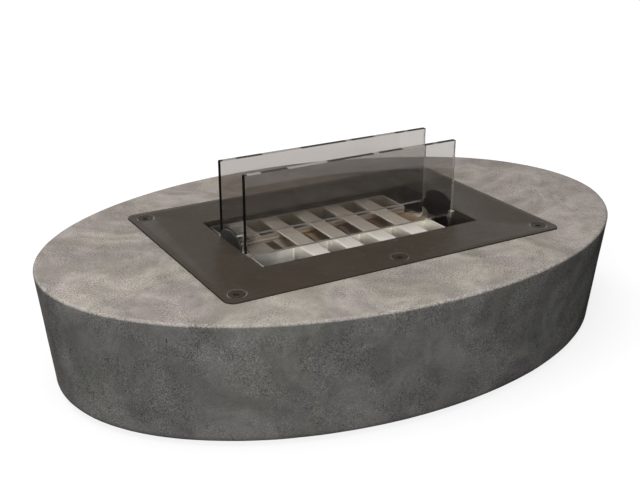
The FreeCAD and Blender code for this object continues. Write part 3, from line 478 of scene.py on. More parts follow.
def concrete_finish(look):
    """Cast concrete: cloudy ground top, a moulded side that is darker partly by its own tone and
    partly by painted shade, speckle, air holes and scratches.
    """
    tree, shader = new_finish("Cast concrete")
    where = own_place(tree)
    normal = place(tree, "ShaderNodeTexCoord").outputs["Normal"]
    lean = place(tree, "ShaderNodeSeparateXYZ", {0: normal}).outputs["Z"]
    up = steps(tree, lean, 0.0, 0.6)
    wide = clouds(tree, where, 15.0, 6.0, 0.62, 0.9)
    small = clouds(tree, where, 52.0, 5.0, 0.65, 0.4)
    # Painted shade, in part: faces that lean away from the top take the darker side colour
    tone = blend(tree, up, rgba(look.side), rgba(look.top))
    hue = steps(tree, clouds(tree, where, 11.0, 4.0, 0.55, 1.2), 0.4, 0.6)
    cast = blend(tree, hue, (1.0, 0.975, 0.99, 1.0), (0.99, 1.0, 0.95, 1.0))
    tone = blend(tree, 1.0, tone, cast, "MULTIPLY")
    shade = steps(tree, wide, 0.34, 0.66, 0.8, 1.18)
    shade = product(tree, shade, steps(tree, small, 0.32, 0.68, 0.9, 1.1))
    grain = effect(tree, "Grain", size=0.0014, clouding=0.0)
    zone = steps(tree, clouds(tree, where, 30.0, 4.0, 0.6, 0.5), 0.42, 0.6, 0.3, 1.0)
    speckle = steps(tree, grain["Value"], 0.34, 0.68, -0.4, 0.4)
    shade = product(tree, shade, work(tree, "MULTIPLY_ADD", speckle, zone, 1.0))
    tone = shaded(tree, tone, shade)
    pits = effect(tree, "Pits", size=0.007, share=0.35)["Mask"]
    # Painted shade: the air holes are darkened where their insides would lie in shade
    tone = blend(tree, product(tree, pits, 0.7), tone, rgba(PAINTED_PIT_SHADE_TONE))
    lines = effect(tree, "Scratches", size=0.012, share=0.5)["Mask"]
    tone = blend(tree, product(tree, lines, 0.8), tone, rgba(SCRATCH_TONE))
    # Painted highlight: a lighter band along the rounded top edge, where light from above catches
    # it, broken up by the grain
    worn = product(tree, steps(tree, lean, 0.05, 0.5), steps(tree, lean, 0.998, 0.93))
    worn = product(tree, worn, steps(tree, grain["Value"], 0.4, 0.62, 0.0, 0.8))
    worn = product(tree, worn, steps(tree, small, 0.35, 0.6, 0.25, 0.9))
    tone = blend(tree, worn, tone, rgba(PAINTED_RIM_HIGHLIGHT_TONE))
    height = work(tree, "MULTIPLY_ADD", grain["Fine"], 0.35, product(tree, small, 0.5))
    height = work(tree, "SUBTRACT", height, product(tree, pits, 1.5))
    feed(tree, shader, base_color=tone, roughness=steps(tree, small, 0.3, 0.7, 0.88, 0.74),
         normal=relief(tree, height, 0.0006), specular_ior_level=0.0)


def coated_finish(name, tone, wear, rough, bare=(0.3, 0.28, 0.26), dust=0.25, gloss=0.5):
    """A thin coating on sheet: fine texture, rubbed edges and a little dust."""
    tree, shader = new_finish(name)
    grain = effect(tree, "Grain", size=0.0006, clouding=0.4)
    face = shaded(tree, rgba(tone), steps(tree, grain["Value"], 0.3, 0.7, 0.88, 1.12))
    worn = effect(tree, "Edge wear", width=0.0005, amount=wear)["Mask"]
    face = blend(tree, worn, face, rgba(bare))
    dusty = effect(tree, "Dust", amount=dust, size=0.05)["Mask"]
    face = blend(tree, dusty, face, rgba(DUST_TONE))
    smudges = clouds(tree, own_place(tree), 22.0, 5.0, 0.6, 1.0)
    polish = work(tree, "ADD", steps(tree, smudges, 0.3, 0.7, rough - 0.06, rough + 0.1),
                  product(tree, dusty, 0.4))
    feed(tree, shader, base_color=face, roughness=polish, metallic=0.0, specular_ior_level=gloss,
         normal=relief(tree, grain["Fine"], 0.00006))


def bare_finish(name, tone, stretch, rough, tint=0.0, reach=0.034, soot_and_shade=0.0, metal=1.0):
    """Brushed bare steel with smudges, heat tint, and soot with painted shade."""
    tree, shader = new_finish(name)
    brush = effect(tree, "Brushing", stretch=stretch)
    face = shaded(tree, rgba(tone), steps(tree, brush["Lines"], 0.2, 0.8, 0.86, 1.08))
    if tint:
        heat = effect(tree, "Heat tint", reach=reach, amount=tint)
        face = blend(tree, heat["Mask"], face, heat["Colour"])
    worn = effect(tree, "Edge wear", width=0.0004, amount=0.35)["Mask"]
    face = blend(tree, worn, face, rgba(tone, 1.1))
    # Painted shade with soot: darkens the left end of the burner's rear half
    if soot_and_shade:
        sooty_and_shaded = effect(tree, "Soot and painted shade", amount=soot_and_shade)["Mask"]
        face = blend(tree, sooty_and_shaded, face, rgba(SOOT_AND_SHADE_TONE))
    polish = work(tree, "ADD", steps(tree, brush["Lines"], 0.2, 0.8, rough - 0.06, rough + 0.1),
                  steps(tree, brush["Smudges"], 0.5, 0.8, 0.0, 0.12))
    feed(tree, shader, base_color=face, metallic=metal, roughness=polish,
         normal=relief(tree, brush["Lines"], 0.00002))


def glass_finish(look):
    """Smoky heat resistant glass."""
    tree, shader = new_finish("Smoky glass")
    haze = clouds(tree, own_place(tree), 14.0, 5.0, 0.6, 0.5)
    darker = [part * 0.93 for part in look.face]
    tint = two_tone(tree, haze, 0.35, 0.75, look.face, darker)
    feed(tree, shader, base_color=tint, roughness=steps(tree, haze, 0.45, 0.8, 0.0, 0.03),
         ior=1.5, transmission_weight=0.975, metallic=0.0)


def ground_edge_finish(name, dark, light):
    """A pane's ground edge: nearly black, as deep tinted glass looks, with lighter stretches that
    are painted highlights.
    """
    tree, shader = new_finish(name)
    grain = effect(tree, "Grain", size=0.0012, clouding=0.4)
    tone = two_tone(tree, grain["Value"], 0.3, 0.7, dark, [part * 2.2 for part in dark])
    painted_glints = clouds(tree, stretched(tree, own_place(tree), (34.0, 0.0, 34.0)), 1.0, 1.0)
    tone = blend(tree, steps(tree, painted_glints, 0.5, 0.54), tone, rgba(light))
    feed(tree, shader, base_color=tone, roughness=steps(tree, grain["Value"], 0.3, 0.7, 0.2, 0.34),
         specular_ior_level=0.0, normal=relief(tree, grain["Fine"], 0.00003))


def glint_edge_finish():
    """A pane's right end, painted pale: a painted glint of light caught inside the glass."""
    tree, shader = new_finish("Painted glint glass edge")
    grain = effect(tree, "Grain", size=0.003, clouding=0.5)
    grey_glass, painted_glint_tone = (0.4, 0.4, 0.39), (0.95, 0.94, 0.92)
    tone = two_tone(tree, grain["Value"], 0.35, 0.65, grey_glass, painted_glint_tone)
    feed(tree, shader, base_color=tone, roughness=steps(tree, grain["Value"], 0.3, 0.7, 0.25, 0.5),
         ior=1.5, transmission_weight=0.5, metallic=0.0)


def wool_finish():
    """Ceramic wool: pale felted fibres, scorched on top."""
    tree, shader = new_finish("Ceramic wool")
    where = own_place(tree)
    fibres = clouds(tree, stretched(tree, where, (300.0, 1500.0, 900.0)), 1.0, 4.0, 0.75, 2.0)
    tufts = clouds(tree, where, 160.0, 4.0, 0.6, 1.0)
    deep, pale, scorched = (0.55, 0.52, 0.47), (0.85, 0.83, 0.78), (0.2, 0.17, 0.13)
    tone = two_tone(tree, fibres, 0.25, 0.75, deep, pale)
    tone = blend(tree, steps(tree, tufts, 0.45, 0.7, 0.0, 0.55), tone, rgba(scorched))
    feed(tree, shader, base_color=tone, roughness=0.95, specular_ior_level=0.1,
         normal=relief(tree, work(tree, "ADD", fibres, tufts), 0.0006))


def rubber_finish():
    """Matt rubber with fine texture."""
    tree, shader = new_finish("Matt rubber")
    grain = effect(tree, "Grain", size=0.0008, clouding=0.5)
    black, dull_grey = (0.018, 0.018, 0.018), (0.045, 0.044, 0.042)
    tone = two_tone(tree, grain["Value"], 0.3, 0.7, black, dull_grey)
    feed(tree, shader, base_color=tone, roughness=steps(tree, grain["Value"], 0.3, 0.7, 0.7, 0.9),
         normal=relief(tree, grain["Fine"], 0.0001))


def brass_finish():
    """Turned brass with dull patches."""
    tree, shader = new_finish("Turned brass")
    brush = effect(tree, "Brushing", stretch=(200.0, 200.0, 3000.0))
    bright, dull = (0.74, 0.56, 0.26), (0.5, 0.36, 0.17)
    tone = two_tone(tree, brush["Smudges"], 0.4, 0.7, bright, dull)
    feed(tree, shader, base_color=tone, metallic=1.0,
         roughness=steps(tree, brush["Lines"], 0.2, 0.8, 0.25, 0.45),
         normal=relief(tree, brush["Lines"], 0.00003))


def finish(name):
    """A finish by its name."""
    return bpy.data.materials[name]


def make_finishes(scene):
    """Makes every finish from the settings."""
    steel = scene.pit_steel
    # The burner tone carries painted warm flame light in part
    sheet = {"tone": steel.bright, "stretch": ALONG_Y, "rough": 0.46, "soot_and_shade": 0.9, "metal": 0.8}
    concrete_finish(scene.pit_concrete)
    coated_finish("Satin cover coating", steel.cover, steel.wear * 0.5, 0.26,
                  bare=(0.2, 0.19, 0.17), dust=0.06, gloss=0.025)
    coated_finish("Heat resistant black", steel.black, steel.wear, 0.5, dust=0.08, gloss=0.08)
    coated_finish("Rubbed black", (0.016, 0.014, 0.012), min(1.0, steel.wear * 1.8), 0.3,
                  bare=(0.5, 0.47, 0.42), dust=0.02, gloss=0.06)
    coated_finish("Black oxide", (0.03, 0.025, 0.021), steel.wear * 0.4, 0.35,
                  bare=(0.12, 0.11, 0.1), dust=0.0, gloss=0.03)
    coated_finish("Powder coat", (0.11, 0.11, 0.11), 0.2, 0.6, bare=(0.32, 0.3, 0.28))
    bare_finish("Brushed burner sheet", **sheet)
    bare_finish("Tinted burner sheet", tint=steel.tint * 0.2, **sheet)
    bare_finish("Tinted cover sheet", steel.bright, ALONG_X, 0.32,
                tint=min(1.0, steel.tint * 1.9), reach=0.06, soot_and_shade=0.5)
    # Painted highlight: the weld beads get a pale, partly diffuse tone so they show as bright lines
    # in the shaded pockets
    bare_finish("Weld bead painted highlight", (0.96, 0.94, 0.89), ALONG_X, 0.5, metal=0.35)
    bare_finish("Brushed channel", (0.62, 0.6, 0.56), UPRIGHT, 0.26)
    # Painted shade: the rear channels get a darker copy of the brushed channel finish
    bare_finish("Painted shade channel", (0.2, 0.19, 0.17), UPRIGHT, 0.4)
    # Painted highlight: bright steel for the rings round the screws' heads and in the countersinks
    bare_finish("Bright cut painted highlight", (0.4, 0.35, 0.3), TURNED, 0.36)
    bare_finish("Zinc plate", (0.55, 0.56, 0.58), ALL_WAYS, 0.36)
    glass_finish(scene.pit_glass)
    edge = scene.pit_glass.edge
    # The light tones are painted highlights in stretches along the ground ends and tops
    ground_edge_finish("Ground glass end", edge, light=(0.012, 0.011, 0.0105))
    ground_edge_finish("Ground glass top", [part * 9 for part in edge], light=(0.28, 0.27, 0.25))
    glint_edge_finish()
    wool_finish()
    rubber_finish()
    brass_finish()


# Mesh helpers

def skin(bm, rings, loop=False, caps=(False, False)):
    """Faces between rings of equally many points; a loop joins the last ring to the first."""
    rows = [[bm.verts.new(point) for point in points] for points in rings]
    pairs = list(zip(rows, rows[1:]))
    if loop:
        pairs.append((rows[-1], rows[0]))
    for low, high in pairs:
        for i in range(len(low)):
            j = (i + 1) % len(low)
            bm.faces.new((low[i], low[j], high[j], high[i]))
    for wanted, row in zip(caps, (rows[0], rows[-1])):
        if wanted:
            bm.faces.new(row)
    return rows


def ring(radius, height, count, centre=(0.0, 0.0)):
    """A level ring of points."""
    turns = [math.tau * i / count for i in range(count)]
    return [Vector((centre[0] + radius * math.cos(turn), centre[1] + radius * math.sin(turn),
                    height)) for turn in turns]


def hexagon_ring(circle, height, count, centre=(0.0, 0.0)):
    """A level ring of points along a hexagon, at the same turns as those of a round ring."""
    half_side = math.pi / 6
    points = []
    for i in range(count):
        turn = math.tau * i / count
        off_middle = (turn + half_side) % (2 * half_side) - half_side
        reach = circle * math.cos(half_side) / math.cos(off_middle)
        points.append(Vector((centre[0] + reach * math.cos(turn),
                              centre[1] + reach * math.sin(turn), height)))
    return points


def box_faces(bm, low, high):
    """A closed box."""
    corners = [(low[0], low[1]), (high[0], low[1]), (high[0], high[1]), (low[0], high[1])]
    rings = [[Vector((x, y, z)) for x, y in corners] for z in (low[2], high[2])]
    skin(bm, rings, caps=(True, True))


def to_piece(name, bm, body, material, nodes=(), sharp=35):
    """Turns a mesh into a piece that rides on a body and may stand for CAD nodes."""
    bmesh.ops.recalc_face_normals(bm, faces=bm.faces)
    mesh = bpy.data.meshes.new(name)
    bm.to_mesh(mesh)
    bm.free()
    mesh.shade_smooth()
    mesh.set_sharp_from_angle(angle=math.radians(sharp))
    mesh.materials.append(finish(material))
    piece = bpy.data.objects.new(name, mesh)
    bpy.context.scene.collection.objects.link(piece)
    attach(piece, body)
    if nodes:
        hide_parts(*nodes)
    return piece


def cad_copy(node):
    """A clean copy of a CAD node's faces."""
    bm = bmesh.new()
    bm.from_mesh(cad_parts[node].data)
    bmesh.ops.remove_doubles(bm, verts=bm.verts, dist=2e-6)
    flat = math.radians(1.0)
    bmesh.ops.dissolve_limit(bm, angle_limit=flat, verts=bm.verts, edges=bm.edges)
    return bm


def bevel_sharp(bm, width, segments=2):
    """Bevels a mesh's sharp edges."""
    least_turn = math.radians(32)
    sharp = [edge for edge in bm.edges
             if len(edge.link_faces) == 2 and edge.calc_face_angle(0) > least_turn]
    bmesh.ops.bevel(bm, geom=sharp, offset=width, segments=segments, profile=0.5,
                    affect="EDGES", clamp_overlap=True)


def sheet_piece(node, width, material, body="pit"):
    """A CAD sheet part with its sharp edges broken."""
    bm = cad_copy(node)
    bevel_sharp(bm, width)
    return to_piece(f"{node}_sheet", bm, body, material, (node,))


def carried(node, material):
    """Gives a CAD node that stays its finish."""
    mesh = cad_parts[node].data
    mesh.materials.clear()
    mesh.materials.append(finish(material))


# Concrete

def plate_outline(gap, corner, pitch):
    """Points round the plate's seat: four rounded corners and the sides between them."""
    half = (PLATE_HIGH - PLATE_LOW).xy / 2 + Vector((gap, gap))
    points = []
    for quarter, (sx, sy) in enumerate(((1, 1), (-1, 1), (-1, -1), (1, -1))):
        middle = Vector((sx * (half.x - corner), sy * (half.y - corner)))
        for i in range(CORNER_PARTS + 1):
            turn = math.pi / 2 * (quarter + i / CORNER_PARTS)
            points.append(middle + Vector((math.cos(turn), math.sin(turn))) * corner)
        along = Vector((-math.sin(turn), math.cos(turn)))
        reach = 2 * (half[quarter % 2] - corner)
        count = round(reach / pitch)
        start = points[-1]
        points += [start + along * reach * i / count for i in range(1, count)]
    return points


def oval_ring(outline, half_x, half_y, height):
    """The oval's points on the rays through the outline's points."""
    points = []
    for point in outline:
        scale = 1 / math.hypot(point.x / half_x, point.y / half_y)
        points.append(Vector((point.x * scale, point.y * scale, height)))
    return points


def at_height(points, height):
    """Flat points set at a height."""
    return [Vector((point.x, point.y, height)) for point in points]


def concrete_rings(look):
    """Closed run of rings: seat, top, rounded edge, sloping side, foot and inside."""
    seat = plate_outline(PLATE_GAP, PLATE_CORNER + PLATE_GAP, SEAT_PITCH)
    top_x, top_y = CONCRETE_HIGH.x, CONCRETE_HIGH.y
    foot_x, foot_y = top_x - SLOPE.x, top_y - SLOPE.y
    deck, base = CONCRETE_HIGH.z, CONCRETE_LOW.z
    floor = PLATE_LOW.z
    edge, foot_edge = look.edge, look.foot_edge
    inner_x, inner_y = WELL_HIGH.x, WELL_HIGH.y
    hole = [Vector((max(-inner_x, min(inner_x, p.x)), max(-inner_y, min(inner_y, p.y))))
            for p in seat]
    rings = [at_height(hole, floor - fall) for fall in (HOLE_DEPTH, FLANGE_SEAT, 0)]
    rings += [at_height(seat, floor), at_height(seat, deck - SEAT_CHAMFER)]
    lip = at_height([p * (1 + SEAT_CHAMFER / p.length) for p in seat], deck)
    rings.append(lip)
    rim = oval_ring(seat, top_x - edge, top_y - edge, deck)
    for i in range(1, TOP_RINGS + 1):
        rings.append([a.lerp(b, i / TOP_RINGS) for a, b in zip(lip, rim)])
    ovals = []
    for i in range(1, EDGE_RINGS + 1):
        turn = math.pi / 2 * i / EDGE_RINGS
        inwards = edge * (1 - math.sin(turn))
        ovals.append((top_x - inwards, top_y - inwards, deck - edge * (1 - math.cos(turn))))
    low, high = base + foot_edge, deck - edge
    for i in range(1, SIDE_RINGS + 1):
        fall = i / SIDE_RINGS
        ovals.append((top_x + (foot_x - top_x) * fall, top_y + (foot_y - top_y) * fall,
                      high + (low - high) * fall))
    for i in range(1, FOOT_RINGS + 1):
        turn = math.pi / 2 * i / FOOT_RINGS
        inwards = foot_edge * (1 - math.cos(turn))
        ovals.append((foot_x - inwards, foot_y - inwards, low - foot_edge * math.sin(turn)))
    rim_x, rim_y = PANEL_HIGH.x + RIM_GAP, PANEL_HIGH.y + RIM_GAP
    ovals.append((rim_x, rim_y, base))
    ovals.append((rim_x, rim_y, PANEL_HIGH.z))
    ovals.append((rim_x - RIM_LEDGE, rim_y - RIM_LEDGE, PANEL_HIGH.z))
    ovals.append((top_x - BODY_WALL, top_y - BODY_WALL, deck - DECK_THICKNESS))
    return rings + [oval_ring(seat, *oval) for oval in ovals]


def uneven(point, normal, height):
    """How far a cast face stands proud at a point."""
    slow = noise.noise(point * 22.0) + 0.5 * noise.noise(point * 55.0)
    fine = noise.noise(point * 240.0)
    return normal * height * (slow * 0.7 + fine * 0.18)


def build_concrete(look):
    """The cast body with its seat, waves and hidden bosses."""
    bm = bmesh.new()
    rows = skin(bm, concrete_rings(look), loop=True)
    bmesh.ops.recalc_face_normals(bm, faces=bm.faces)
    bm.normal_update()
    seat_rows, inside_rows = 6, 4
    outer = {vert for row in rows[seat_rows:-inside_rows] for vert in row}
    moves = [(vert, uneven(vert.co, vert.normal, look.waves)) for vert in outer]
    for vert, move in moves:
        vert.co += move
    low, high = CONCRETE_LOW, CONCRETE_HIGH + Vector((0, 0, 0.3)) * MM
    for vert in bm.verts:
        for axis in range(3):
            vert.co[axis] = max(low[axis], min(high[axis], vert.co[axis]))
    half = BOSS_SIDE / 2
    for middle in BOSS_PLACES:
        box_faces(bm, (middle.x - half, middle.y - half, PANEL_HIGH.z),
                  (middle.x + half, middle.y + half, CONCRETE_HIGH.z - DECK_THICKNESS))
    to_piece("cast_body", bm, "pit", "Cast concrete", ("concrete_body",),
             sharp=50)


# Underside

def build_underside():
    """Rounded rubber feet, the panel and their fasteners."""
    bm = bmesh.new()
    tread = [(6.0, 0.4), (6.4, 0.0), (8.6, 0.0), (9.0, 0.5), (9.6, 0.5), (10.0, 0.0), (12.2, 0.0),
             (12.6, 0.5), (13.2, 0.5), (13.6, 0.0)]
    side = [(14.4, 0.2), (15.0, 0.9), (15.0, 5.4), (14.6, 5.9), (14.6, 6.4), (15.0, 6.9),
            (14.8, 7.0)]
    bore = [(2.5, 7.0), (2.5, 3.5), (6.0, 3.5)]
    for centre in BOSS_PLACES:
        skin(bm, [ring(radius * MM, height * MM, ROUND_PARTS, centre)
                  for radius, height in tread + side + bore], loop=True)
    to_piece("grooved_feet", bm, "pit", "Matt rubber", ("rubber_feet",))
    sheet_piece("base_panel", 0.5 * MM, "Powder coat")
    sheet_piece("foot_screws", 0.2 * MM, "Zinc plate")
    carried("foot_inserts", "Turned brass")
    carried("cover_inserts", "Turned brass")


# Cover

def screw_places():
    """Middles of the six cover screws."""
    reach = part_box("cover_screws")[1].xy - Vector((SCREW_HEAD_RADIUS, SCREW_HEAD_RADIUS))
    return [(x * reach.x, y * reach.y) for x in (-1, 0, 1) for y in (-1, 1)]


def paint_highlight_ring(piece, near, far, least_lean, most_lean):
    """Paints a highlight of bright bare steel on faces this far from a screw's middle that lean by
    this much.
    """
    piece.data.materials.append(finish("Bright cut painted highlight"))
    places = screw_places()
    for face in piece.data.polygons:
        from_screw = min(math.hypot(face.center.x - x, face.center.y - y) for x, y in places)
        if near < from_screw < far and least_lean < face.normal.z < most_lean:
            face.material_index = 1


def build_cover():
    """The plate with broken edges; the countersinks' rims show bright steel, a painted highlight
    ring round each screw.
    """
    bm = cad_copy("cover_plate")
    bevel_sharp(bm, 0.35 * MM, segments=3)
    piece = to_piece("cover_sheet", bm, "pit", "Satin cover coating",
                     ("cover_plate",))
    paint_highlight_ring(piece, 9 * MM, 9.6 * MM, 0.75, 0.99)


def thread_ring(centre, height, radius, pitch, depth):
    """A ring of points on a thread's flanks, at one height."""
    points = []
    for i, point in enumerate(ring(1.0, height, ROUND_PARTS)):
        phase = (height / pitch - i / ROUND_PARTS) % 1.0
        reach = radius - depth * (1 - abs(2 * phase - 1))
        points.append(Vector((centre[0] + point.x * reach, centre[1] + point.y * reach, height)))
    return points


def screw_rings(centre, top):
    """Rings of a countersunk screw, from the middle of its socket round to its tip."""
    socket = ((2.85, 2.9), (2.9, 0.5), (3.3, 0.06))
    head = ((3.9, 0.0), (7.9, 0.0), (8.3, 0.1), (8.5, 0.35), (8.4, 0.7), (4.0, 4.9))
    rings = [ring(0.05 * MM, top - 3.4 * MM, ROUND_PARTS, centre)]
    rings += [hexagon_ring(circle * MM, top - fall * MM, ROUND_PARTS, centre)
              for circle, fall in socket]
    rings += [ring(radius * MM, top - fall * MM, ROUND_PARTS, centre) for radius, fall in head]
    radius, pitch, depth = 4.0 * MM, 1.25 * MM, 0.38 * MM
    start, end = top - 5.2 * MM, top - 16.2 * MM
    rings_each_turn = 4
    count = round((start - end) / (pitch / rings_each_turn))
    rings += [thread_ring(centre, start + (end - start) * i / count, radius, pitch, depth)
              for i in range(count + 1)]
    rings.append(ring(3.2 * MM, top - 16.9 * MM, ROUND_PARTS, centre))
    return rings


def build_cover_screws():
    """Six socket screws with real threads, the rims of their black heads painted bright as a
    highlight ring.
    """
    bm = bmesh.new()
    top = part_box("cover_screws")[1].z
    for centre in screw_places():
        skin(bm, screw_rings(centre, top), caps=(True, True))
    piece = to_piece("socket_screws", bm, "pit", "Black oxide", ("cover_screws",))
    paint_highlight_ring(piece, 7 * MM, 9 * MM, 0.5, 0.999)


# Well

def build_well(look):
    """The well, its rails, the cheeks and their screws."""
    for node in ("burner_well", "front_rail", "rear_rail"):
        sheet_piece(node, look.bevel, "Heat resistant black")
    for node in ("left_cheek", "right_cheek"):
        sheet_piece(node, 0.3 * MM, "Rubbed black")
    sheet_piece("cheek_screws", 0.25 * MM, "Black oxide")


# Burner

def bead(bm, foot, top):
    """A rippled weld bead between two points."""
    rings = []
    span = top - foot
    count = BEAD_RIPPLES * 2
    for i in range(count + 1):
        share_up = i / count
        swell = 0.8 + 0.2 * (i % 2)
        taper = min(1.0, 4 * share_up + 0.3, 4 * (1 - share_up) + 0.3)
        middle = foot + span * share_up
        rings.append([middle + point for point in ring(BEAD_RADIUS * swell * taper, 0, BEAD_SIDES)])
    skin(bm, rings, caps=(True, True))


def build_welds():
    """Beads where the bars' tabs meet the tank."""
    bm = bmesh.new()
    for name in BARS:
        low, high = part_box(name)
        for side in ((1,) if name == "short_bar" else (-1, 1)):
            for x in (low.x, high.x):
                y = side * TANK_HIGH.y
                bead(bm, Vector((x, y, high.z - BEAD_FOOT)), Vector((x, y, high.z - BEAD_TOP)))
    to_piece("weld_beads", bm, "pit", "Weld bead painted highlight")


def build_burner(look):
    """Frame, bars, tank, tank cover and guides in bare sheet, with their welds."""
    sheet_piece("burner_frame", look.bevel, "Brushed burner sheet")
    for name in BARS:
        sheet_piece(name, look.bevel, "Tinted burner sheet")
    sheet_piece("fuel_tank", look.bevel, "Brushed burner sheet")
    for name in ("tank_cover", "front_slide_guide", "rear_slide_guide"):
        sheet_piece(name, look.bevel, "Tinted cover sheet")
    build_welds()


def build_wick():
    """A fluffy block of wool in the tank."""
    longest_edge, top_layer = 5 * MM, 1 * MM
    low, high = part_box("ceramic_wick")
    bm = bmesh.new()
    bmesh.ops.create_cube(bm, size=1.0)
    bmesh.ops.subdivide_edges(bm, edges=bm.edges, cuts=1, use_grid_fill=True)
    size = high - low
    middle = (low + high) / 2
    for vert in bm.verts:
        vert.co = Vector((vert.co.x * size.x, vert.co.y * size.y, vert.co.z * size.z)) + middle
    for _ in range(4):
        long_edges = [edge for edge in bm.edges if edge.calc_length() > longest_edge]
        bmesh.ops.subdivide_edges(bm, edges=long_edges, cuts=1, use_grid_fill=True)
    bm.normal_update()
    for vert in bm.verts:
        tuft = noise.noise(vert.co * 180.0) + 0.6 * noise.noise(vert.co * 500.0)
        move = vert.normal * (tuft - 1.0) * 0.5 * MM
        if vert.co.z > high.z - top_layer:
            move.z += 1.6 * MM * tuft - 0.4 * MM
        vert.co += move
        vert.co.z = min(vert.co.z, high.z)
    to_piece("felted_wick", bm, "pit", "Ceramic wool", ("ceramic_wick",), sharp=80)


# Slide

def build_slide(look):
    """The closing slide, its lug and a domed rivet."""
    sheet_piece("closing_slide", look.bevel, "Tinted cover sheet", "slide")
    sheet_piece("slide_lug", 0.15 * MM, "Brushed burner sheet", "slide")
    low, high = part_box("lug_rivet")
    centre = ((low.x + high.x) / 2, (low.y + high.y) / 2)
    top = high.z
    bm = bmesh.new()
    shank = [(1.0, 2.2), (1.0, 1.0)]
    dome = [(2.0, 1.0), (1.95, 0.7), (1.7, 0.4), (1.25, 0.15), (0.7, 0.03), (0.2, 0.0)]
    skin(bm, [ring(radius * MM, top - fall * MM, RIVET_PARTS, centre)
              for radius, fall in shank + dome], caps=(True, True))
    to_piece("domed_rivet", bm, "slide", "Zinc plate", ("lug_rivet",), sharp=50)


# Panes

def build_pane(node, body):
    """A pane of smoky glass with its left end and its top ground and its right end painted pale as
    a glint.
    """
    piece = to_piece(f"{node}_pane", cad_copy(node), body, "Smoky glass", (node,),
                     sharp=20)
    for name in ("Ground glass end", "Ground glass top", "Painted glint glass edge"):
        piece.data.materials.append(finish(name))
    for face in piece.data.polygons:
        # Right ends take the painted glint edge
        edges = (face.normal.x < -0.5, face.normal.z > 0.5, face.normal.x > 0.5)
        if any(edges):
            face.material_index = 1 + edges.index(True)


def build_channels(look):
    """Four channels that hold the panes' ends; the rear ones take a darker copy of the channel
    finish, which is painted shade.
    """
    for pane, material in (("front", "Brushed channel"), ("rear", "Painted shade channel")):
        for end in ("left", "right"):
            sheet_piece(f"{pane}_{end}_channel", look.bevel, material)


# Stage

def build_camera(scene):
    """The camera, at the eye's place and angle."""
    turn, rise = math.radians(EYE_TURN), math.radians(EYE_RISE)
    back = Vector((math.sin(turn) * math.cos(rise), -math.cos(turn) * math.cos(rise),
                   math.sin(rise)))
    camera = bpy.data.objects.new("view_camera", bpy.data.cameras.new("view_camera"))
    camera.data.sensor_width = 36.0
    camera.data.lens = LENS
    camera.location = EYE
    camera.rotation_mode = "QUATERNION"
    camera.rotation_quaternion = (-back).to_track_quat("-Z", "Y")
    scene.collection.objects.link(camera)
    scene.camera = camera


def lamp(scene, name, place_at, target, size, watts, mirrored=True):
    """A square lamp that points at a target; gloss may mirror it or not."""
    light = bpy.data.lights.new(name, "AREA")
    light.shape = "SQUARE"
    light.size = size
    light.energy = watts
    thing = bpy.data.objects.new(name, light)
    thing.location = place_at
    thing.rotation_mode = "QUATERNION"
    towards = Vector(target) - Vector(place_at)
    thing.rotation_quaternion = towards.to_track_quat("-Z", "Y")
    thing.visible_glossy = mirrored
    scene.collection.objects.link(thing)


def seen_plainly(tree):
    """1 for rays that show the backdrop: from the camera, off gloss and through glass."""
    path = place(tree, "ShaderNodeLightPath")
    first = work(tree, "MAXIMUM", path.outputs["Is Camera Ray"], path.outputs["Is Glossy Ray"])
    return work(tree, "MAXIMUM", first, path.outputs["Is Transmission Ray"])


def build_world(scene, look):
    """White where it is seen, and a soft even light."""
    world = bpy.data.worlds.new("Studio")
    world.use_nodes = True
    scene.world = world
    tree = world.node_tree
    ground = tree.nodes["Background"].inputs
    give(tree, ground["Strength"], between(tree, seen_plainly(tree), look.ambient, 1.0))
    give(tree, ground["Color"], (1, 1, 1, 1))


def build_floor(scene, look):
    """A pale floor that keeps the shadow near the object and turns white further out."""
    bm = bmesh.new()
    bmesh.ops.create_circle(bm, cap_ends=True, radius=FLOOR_RADIUS, segments=FLOOR_PARTS)
    mesh = bpy.data.meshes.new("floor")
    bm.to_mesh(mesh)
    bm.free()
    floor = bpy.data.objects.new("floor", mesh)
    scene.collection.objects.link(floor)
    tree, shader = new_finish("Pale floor")
    glow = steps(tree, distance(tree, own_place(tree)), 0.3, 1.1, 0.82, 1.0)
    feed(tree, shader, base_color=rgba(look.floor), roughness=0.9, specular_ior_level=0.0)
    strength = product(tree, glow, seen_plainly(tree))
    light = place(tree, "ShaderNodeEmission", {"Strength": strength})
    both = place(tree, "ShaderNodeAddShader", {0: shader.outputs[0], 1: light.outputs[0]})
    tree.links.new(both.outputs[0], tree.nodes["Material Output"].inputs["Surface"])
    mesh.materials.append(finish("Pale floor"))


def build_stage(scene):
    """Camera, lamps, world and floor."""
    look = scene.pit_stage
    build_camera(scene)
    build_world(scene, look)
    build_floor(scene, look)
    lamp(scene, "key_lamp", (-0.3, -0.2, 1.7), target=(0, 0, 0.1), size=1.2, watts=look.key,
         mirrored=False)
    lamp(scene, "side_lamp", (-1.08, -1.37, 0.8), target=(0, 0, 0.06), size=0.8, watts=look.side)
    lamp(scene, "back_lamp", (-0.7, 1.7, 0.45), target=(0, 0, 0.06), size=0.8, watts=look.back)
    scene.view_settings.view_transform = "Standard"


# Operators

class FinishesOperator(bpy.types.Operator):
    """Make the effects and every finish"""
    bl_idname = "fire_pit.finishes"
    bl_label = "Finishes"

    def execute(self, context):
        make_effects()
        make_finishes(context.scene)
        return {"FINISHED"}


class StageOperator(bpy.types.Operator):
    """Set up the floor, lamps, world and camera"""
    bl_idname = "fire_pit.stage"
    bl_label = "Stage"

    def execute(self, context):
        build_stage(context.scene)
        return {"FINISHED"}


